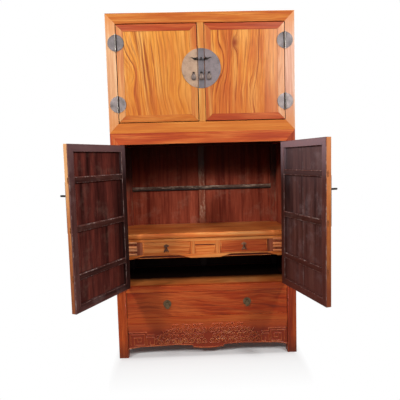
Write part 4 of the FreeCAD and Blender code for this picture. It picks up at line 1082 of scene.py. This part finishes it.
def spiral(centre, start_angle, way):
    """A scroll from its eye outwards: points in X and Z with a half width."""
    points = []
    steps = int(SCROLL_STEPS * SCROLL_TURNS)
    for step in range(steps + 1):
        share = step / steps
        angle = start_angle + way * share * SCROLL_TURNS * 2 * math.pi
        radius = SCROLL_REACH * (SCROLL_EYE + (1 - SCROLL_EYE) * share)
        line = SCROLL_LINE_MM * MM * (SCROLL_EYE_LINE + (1 - SCROLL_EYE_LINE) * share)
        points.append((centre[0] + radius * math.cos(angle), centre[1] + radius * math.sin(angle), line))
    return points


def stroke(corners, width_mm, step_mm=1.5):
    """A raised line through corners: points in X and Z with a half width."""
    points = []
    for (xa, za), (xb, zb) in zip(corners, corners[1:]):
        steps = max(2, int(math.hypot(xb - xa, zb - za) / (step_mm * MM)))
        for step in range(steps + 1):
            share = step / steps
            points.append((xa + (xb - xa) * share, za + (zb - za) * share, width_mm * MM))
    return points


def fret(x, z, width, height, width_mm):
    """A square scroll that runs inwards from its lower outer corner."""
    x0, x1, z0, z1 = x, x + width, z, z + height
    corners = [(x1, z0)]
    while x1 - x0 > FRET_PITCH and z1 - z0 > FRET_PITCH:
        corners += [(x1, z1), (x0, z1), (x0, z0), (x1 - FRET_PITCH, z0)]
        x0, x1, z0, z1 = x0 + FRET_PITCH, x1 - FRET_PITCH, z0 + FRET_PITCH, z1 - FRET_PITCH
        corners.append((x1, z0))
    return stroke(corners, width_mm)


def carving_marks(edge_height):
    """Points of all raised lines of the apron's carving, mirrored about the middle."""
    half = []
    # every other row of scrolls is set half a pitch on, and short stems link them
    for row, (z, reach) in enumerate(SCROLL_ROWS):
        x = SCROLL_START + (0.5 * SCROLL_PITCH if row % 2 else 0.0)
        number = 0
        while x < reach:
            way = 1 if (number + row) % 2 else -1
            half += spiral((x, z), 0.9 + 1.3 * number + 2.1 * row, way)
            bend = 9 * MM * way
            stem = [(x + 6 * MM, z + bend), (x + 20 * MM, z + 1.5 * bend), (x + 34 * MM, z - bend)]
            half += stroke(stem, STEM_LINE_MM)
            x += SCROLL_PITCH
            number += 1
    for place in FRETS:
        half += fret(*place)
    half += stroke(TIE_BAR, EDGE_LINE_MM)
    marks = [(side * x, z, width) for side in (LEFT, RIGHT) for x, z, width in half]
    edge = [(x, edge_height(x) + 6 * MM) for x in np.linspace(-opening_half, opening_half, 320)]
    return marks + stroke(edge, EDGE_LINE_MM, 2.0)


def apron_edge_height():
    """The lower edge of the CAD apron as a function of X, read from its corner points."""
    lows = {}
    for vertex in nodes["front_apron"].data.vertices:
        x, _, z = vertex.co
        if z < 0.1:
            lows.setdefault(round(x, 4), set()).add(round(z, 4))
    line = []
    for x, levels in lows.items():
        line.append((x, min(levels)))
        if max(levels) > min(levels) + 2 * MM:
            line.append((x + math.copysign(0.6 * MM, x), max(levels)))
    line.sort()
    xs, zs = zip(*line)
    return lambda x: float(np.interp(x, xs, zs))


APRON_COLUMNS, APRON_ROWS = 520, 84
# how deep the ground is sunk, how far the lines are raised over it, and how far down the ground shelves
CARVING_SUNK, CARVING_RAISED, CARVING_SHELVING = 3 * MM, 5 * MM, 22 * MM


def build_apron():
    """The front apron: the board of the CAD node, its face carved in low relief."""
    low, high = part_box("front_apron")
    edge_height = apron_edge_height()
    columns, rows = APRON_COLUMNS, APRON_ROWS
    marks = carving_marks(edge_height)
    tree = kdtree.KDTree(len(marks))
    for number, (x, z, _) in enumerate(marks):
        tree.insert((x, 0.0, z), number)
    tree.balance()
    points = []
    for row in range(rows + 1):
        for column in range(columns + 1):
            x = low.x + (high.x - low.x) * column / columns
            bottom = edge_height(x)
            z = bottom + (high.z - bottom) * row / rows
            lift = 0.0
            for _, number, distance in tree.find_n((x, 0.0, z), 5):
                share = distance / marks[number][2]
                if share < 1:
                    lift = max(lift, math.sqrt(1 - share * share))
            rim = min(1.0, (high.z - z) / CARVING_SHELVING)
            points.append((x, low.y + CARVING_SUNK * rim * rim - CARVING_RAISED * lift, z))
    width = columns + 1
    faces = [
        (r * width + c, r * width + c + 1, (r + 1) * width + c + 1, (r + 1) * width + c)
        for r in range(rows) for c in range(columns)
    ]
    rim_loop = list(range(columns))
    rim_loop += [r * width + columns for r in range(rows)]
    rim_loop += [rows * width + c for c in range(columns, 0, -1)]
    rim_loop += [r * width for r in range(rows, 0, -1)]
    start = len(points)
    points += [(points[i][0], high.y, points[i][2]) for i in rim_loop]
    back_loop = list(range(start, start + len(rim_loop)))
    faces += zip(rim_loop, rim_loop[1:] + rim_loop[:1], back_loop[1:] + back_loop[:1], back_loop)
    faces.append(tuple(back_loop))
    # the sunk ground of the carving is darker, partly old lacquer and dust and partly painted shade in its
    # hollows; a band along the top is more orange
    wood = lacquered_wood(
        "carved_apron_wood", APRON_TONES, "x", 36, ring_mm=14, figure=0.5,
        fades=[
            ("Y", low.y - 3 * MM, low.y + 3.5 * MM, 1.0, "#842E16"),
            ("Z", high.z - 48 * MM, high.z - 12 * MM, 0.8, "#BC5226"),
        ])
    piece = make_piece("front_apron_carved", (points, faces), [wood], "carcass", "outer_wood")
    for polygon in piece.data.polygons:
        polygon.use_smooth = polygon.index < rows * columns
    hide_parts("front_apron")


# Studio

# softboxes: name, place, the point they are aimed at, width and height, and power in watts
SOFTBOXES = (
    ("left_softbox", (-2.9, -3.2, 2.6), (0.0, 0.0, 1.5), (0.4, 0.4), 90),
    ("right_softbox", (2.2, -3.1, 2.9), (0.0, 0.0, 1.5), (0.4, 0.4), 63),
    ("front_left_softbox", (-1.5, -3.7, 2.7), (0.0, 0.0, 1.5), (0.8, 0.8), 24),
    ("front_right_softbox", (1.4, -3.7, 2.7), (0.0, 0.0, 1.5), (0.8, 0.8), 24),
    ("overhead_softbox", (0.0, -0.6, 4.6), (0.0, 0.0, 1.0), (2.5, 2.0), 22),
)
# strength of the white surroundings as a light, and of the glow of the paper near the cabinet
WORLD_FILL = 0.09
PAPER_FILL = 0.02
FLOOR_REACH = 14.0
# how far the paper's shadow starts inside the posts, and how much narrower it is at the sides than in front
SHADOW_INSET = (0.02, 0.015)
SHADOW_SHAPE = (8.0, 1.0, 1.0)
# dark under the cabinet, pale from its front edge on, and plain white at half a metre
SHADOW_STOPS = ((0.0, 0.0), (0.012, 0.0), (0.026, 0.36), (0.07, 0.6), (0.16, 0.74), (0.45, 1.0))
# the photograph's camera: place from the middle of the front, yaw, pitch and roll in degrees, and its lens
CAMERA_PLACE = (-0.0984, -2.6983, 1.2296)
CAMERA_TURN = (-1.483, -5.163, 1.542)
LENS_MM, SENSOR_MM = 39.85, 36.0


def place_object(name, data):
    made = bpy.data.objects.new(name, data)
    bpy.context.scene.collection.objects.link(made)
    return made


def soft_light(name, place, target, size, power):
    """A softbox aimed at a point."""
    lamp = bpy.data.lights.new(name, "AREA")
    lamp.shape = "RECTANGLE"
    lamp.size, lamp.size_y = size
    lamp.energy = power
    holder = place_object(name, lamp)
    holder.location = place
    holder.rotation_euler = (Vector(target) - Vector(place)).to_track_quat("-Z", "Y").to_euler()


def seen_directly(n):
    """One for rays from the camera, mirrors and glass, and nothing for other rays."""
    path = n("LightPath").node.outputs
    mirrored = n("Math", path["Is Camera Ray"], path["Is Glossy Ray"], operation="MAXIMUM")
    return n("Math", mirrored, path["Is Transmission Ray"], operation="MAXIMUM")


def studio_floor():
    """White paper under the cabinet: it takes its shadow, and runs out into plain white further off."""
    mesh = bpy.data.meshes.new("studio_floor")
    corners = rectangle(-FLOOR_REACH, FLOOR_REACH, -FLOOR_REACH, FLOOR_REACH)
    mesh.from_pydata([(x, y, 0) for x, y in corners], [], [(0, 1, 2, 3)])
    floor = place_object("studio_floor", mesh)
    paper, n = new_material("white_paper_floor")
    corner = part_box("lower_posts")[1]
    foot = (corner.x - SHADOW_INSET[0], corner.y - SHADOW_INSET[1], 0.0)
    off = n("VectorMath", n("TexCoord", output="Object"), operation="ABSOLUTE")
    for step, other in (("SUBTRACT", foot), ("MAXIMUM", (0.0, 0.0, 0.0)), ("MULTIPLY", SHADOW_SHAPE)):
        off = n("VectorMath", off, other, operation=step)
    away = n("VectorMath", off, output="Value", operation="LENGTH")
    far = n("ValToRGB", away, stops=[(place, grey(white)) for place, white in SHADOW_STOPS])
    matt = n("BsdfDiffuse", Color=grey(0.9))
    seen = seen_directly(n)
    fill = n("Math", seen, PAPER_FILL, operation="MULTIPLY")
    near_glow = n("Emission", Color=grey(1.0), Strength=fill)
    near = n("AddShader", matt, near_glow)
    white = n("Emission", Color=grey(1.0), Strength=seen)
    n("OutputMaterial", Surface=n("MixShader", far, near, white))
    mesh.materials.append(paper)


def studio():
    """Pale floor, white background, soft light from both sides and the photograph's camera."""
    scene = bpy.context.scene
    scene.view_settings.view_transform = "Standard"
    world = bpy.data.worlds.new("studio")
    scene.world = world
    world.use_nodes = True
    world.node_tree.nodes.clear()
    n = partial(add, world.node_tree)
    level = n("MapRange", seen_directly(n), 0.0, 1.0, WORLD_FILL, 1.0)
    n("OutputWorld", Surface=n("Background", Color=grey(1.0), Strength=level))
    studio_floor()
    for softbox in SOFTBOXES:
        soft_light(*softbox)

    lens = bpy.data.cameras.new("photo_camera")
    lens.sensor_width = SENSOR_MM
    lens.lens = LENS_MM
    lens.clip_start, lens.clip_end = 0.05, 60.0
    camera = place_object("photo_camera", lens)
    yaw, pitch, roll = (math.radians(angle) for angle in CAMERA_TURN)
    aimed = Matrix.Rotation(yaw, 3, "Z") @ Matrix.Rotation(pitch, 3, "X") @ Matrix.Rotation(roll, 3, "Y")
    right, ahead, up = aimed.col
    turn = Matrix((right, up, -ahead)).transposed().to_4x4()
    across, out, rise = CAMERA_PLACE
    camera.matrix_world = Matrix.Translation((across, front_y + out, rise)) @ turn
    scene.camera = camera


carcass_looks()
inner_case_looks()
hardware_looks()
# a door takes five seeds, one to a log
for number, door in enumerate(DOORS):
    build_door(*door, seed=40 + 5 * number)
build_case_trim()
build_post_beads()
build_lock_trim()
build_drops()
build_small_pull_trim()
build_apron()
studio()
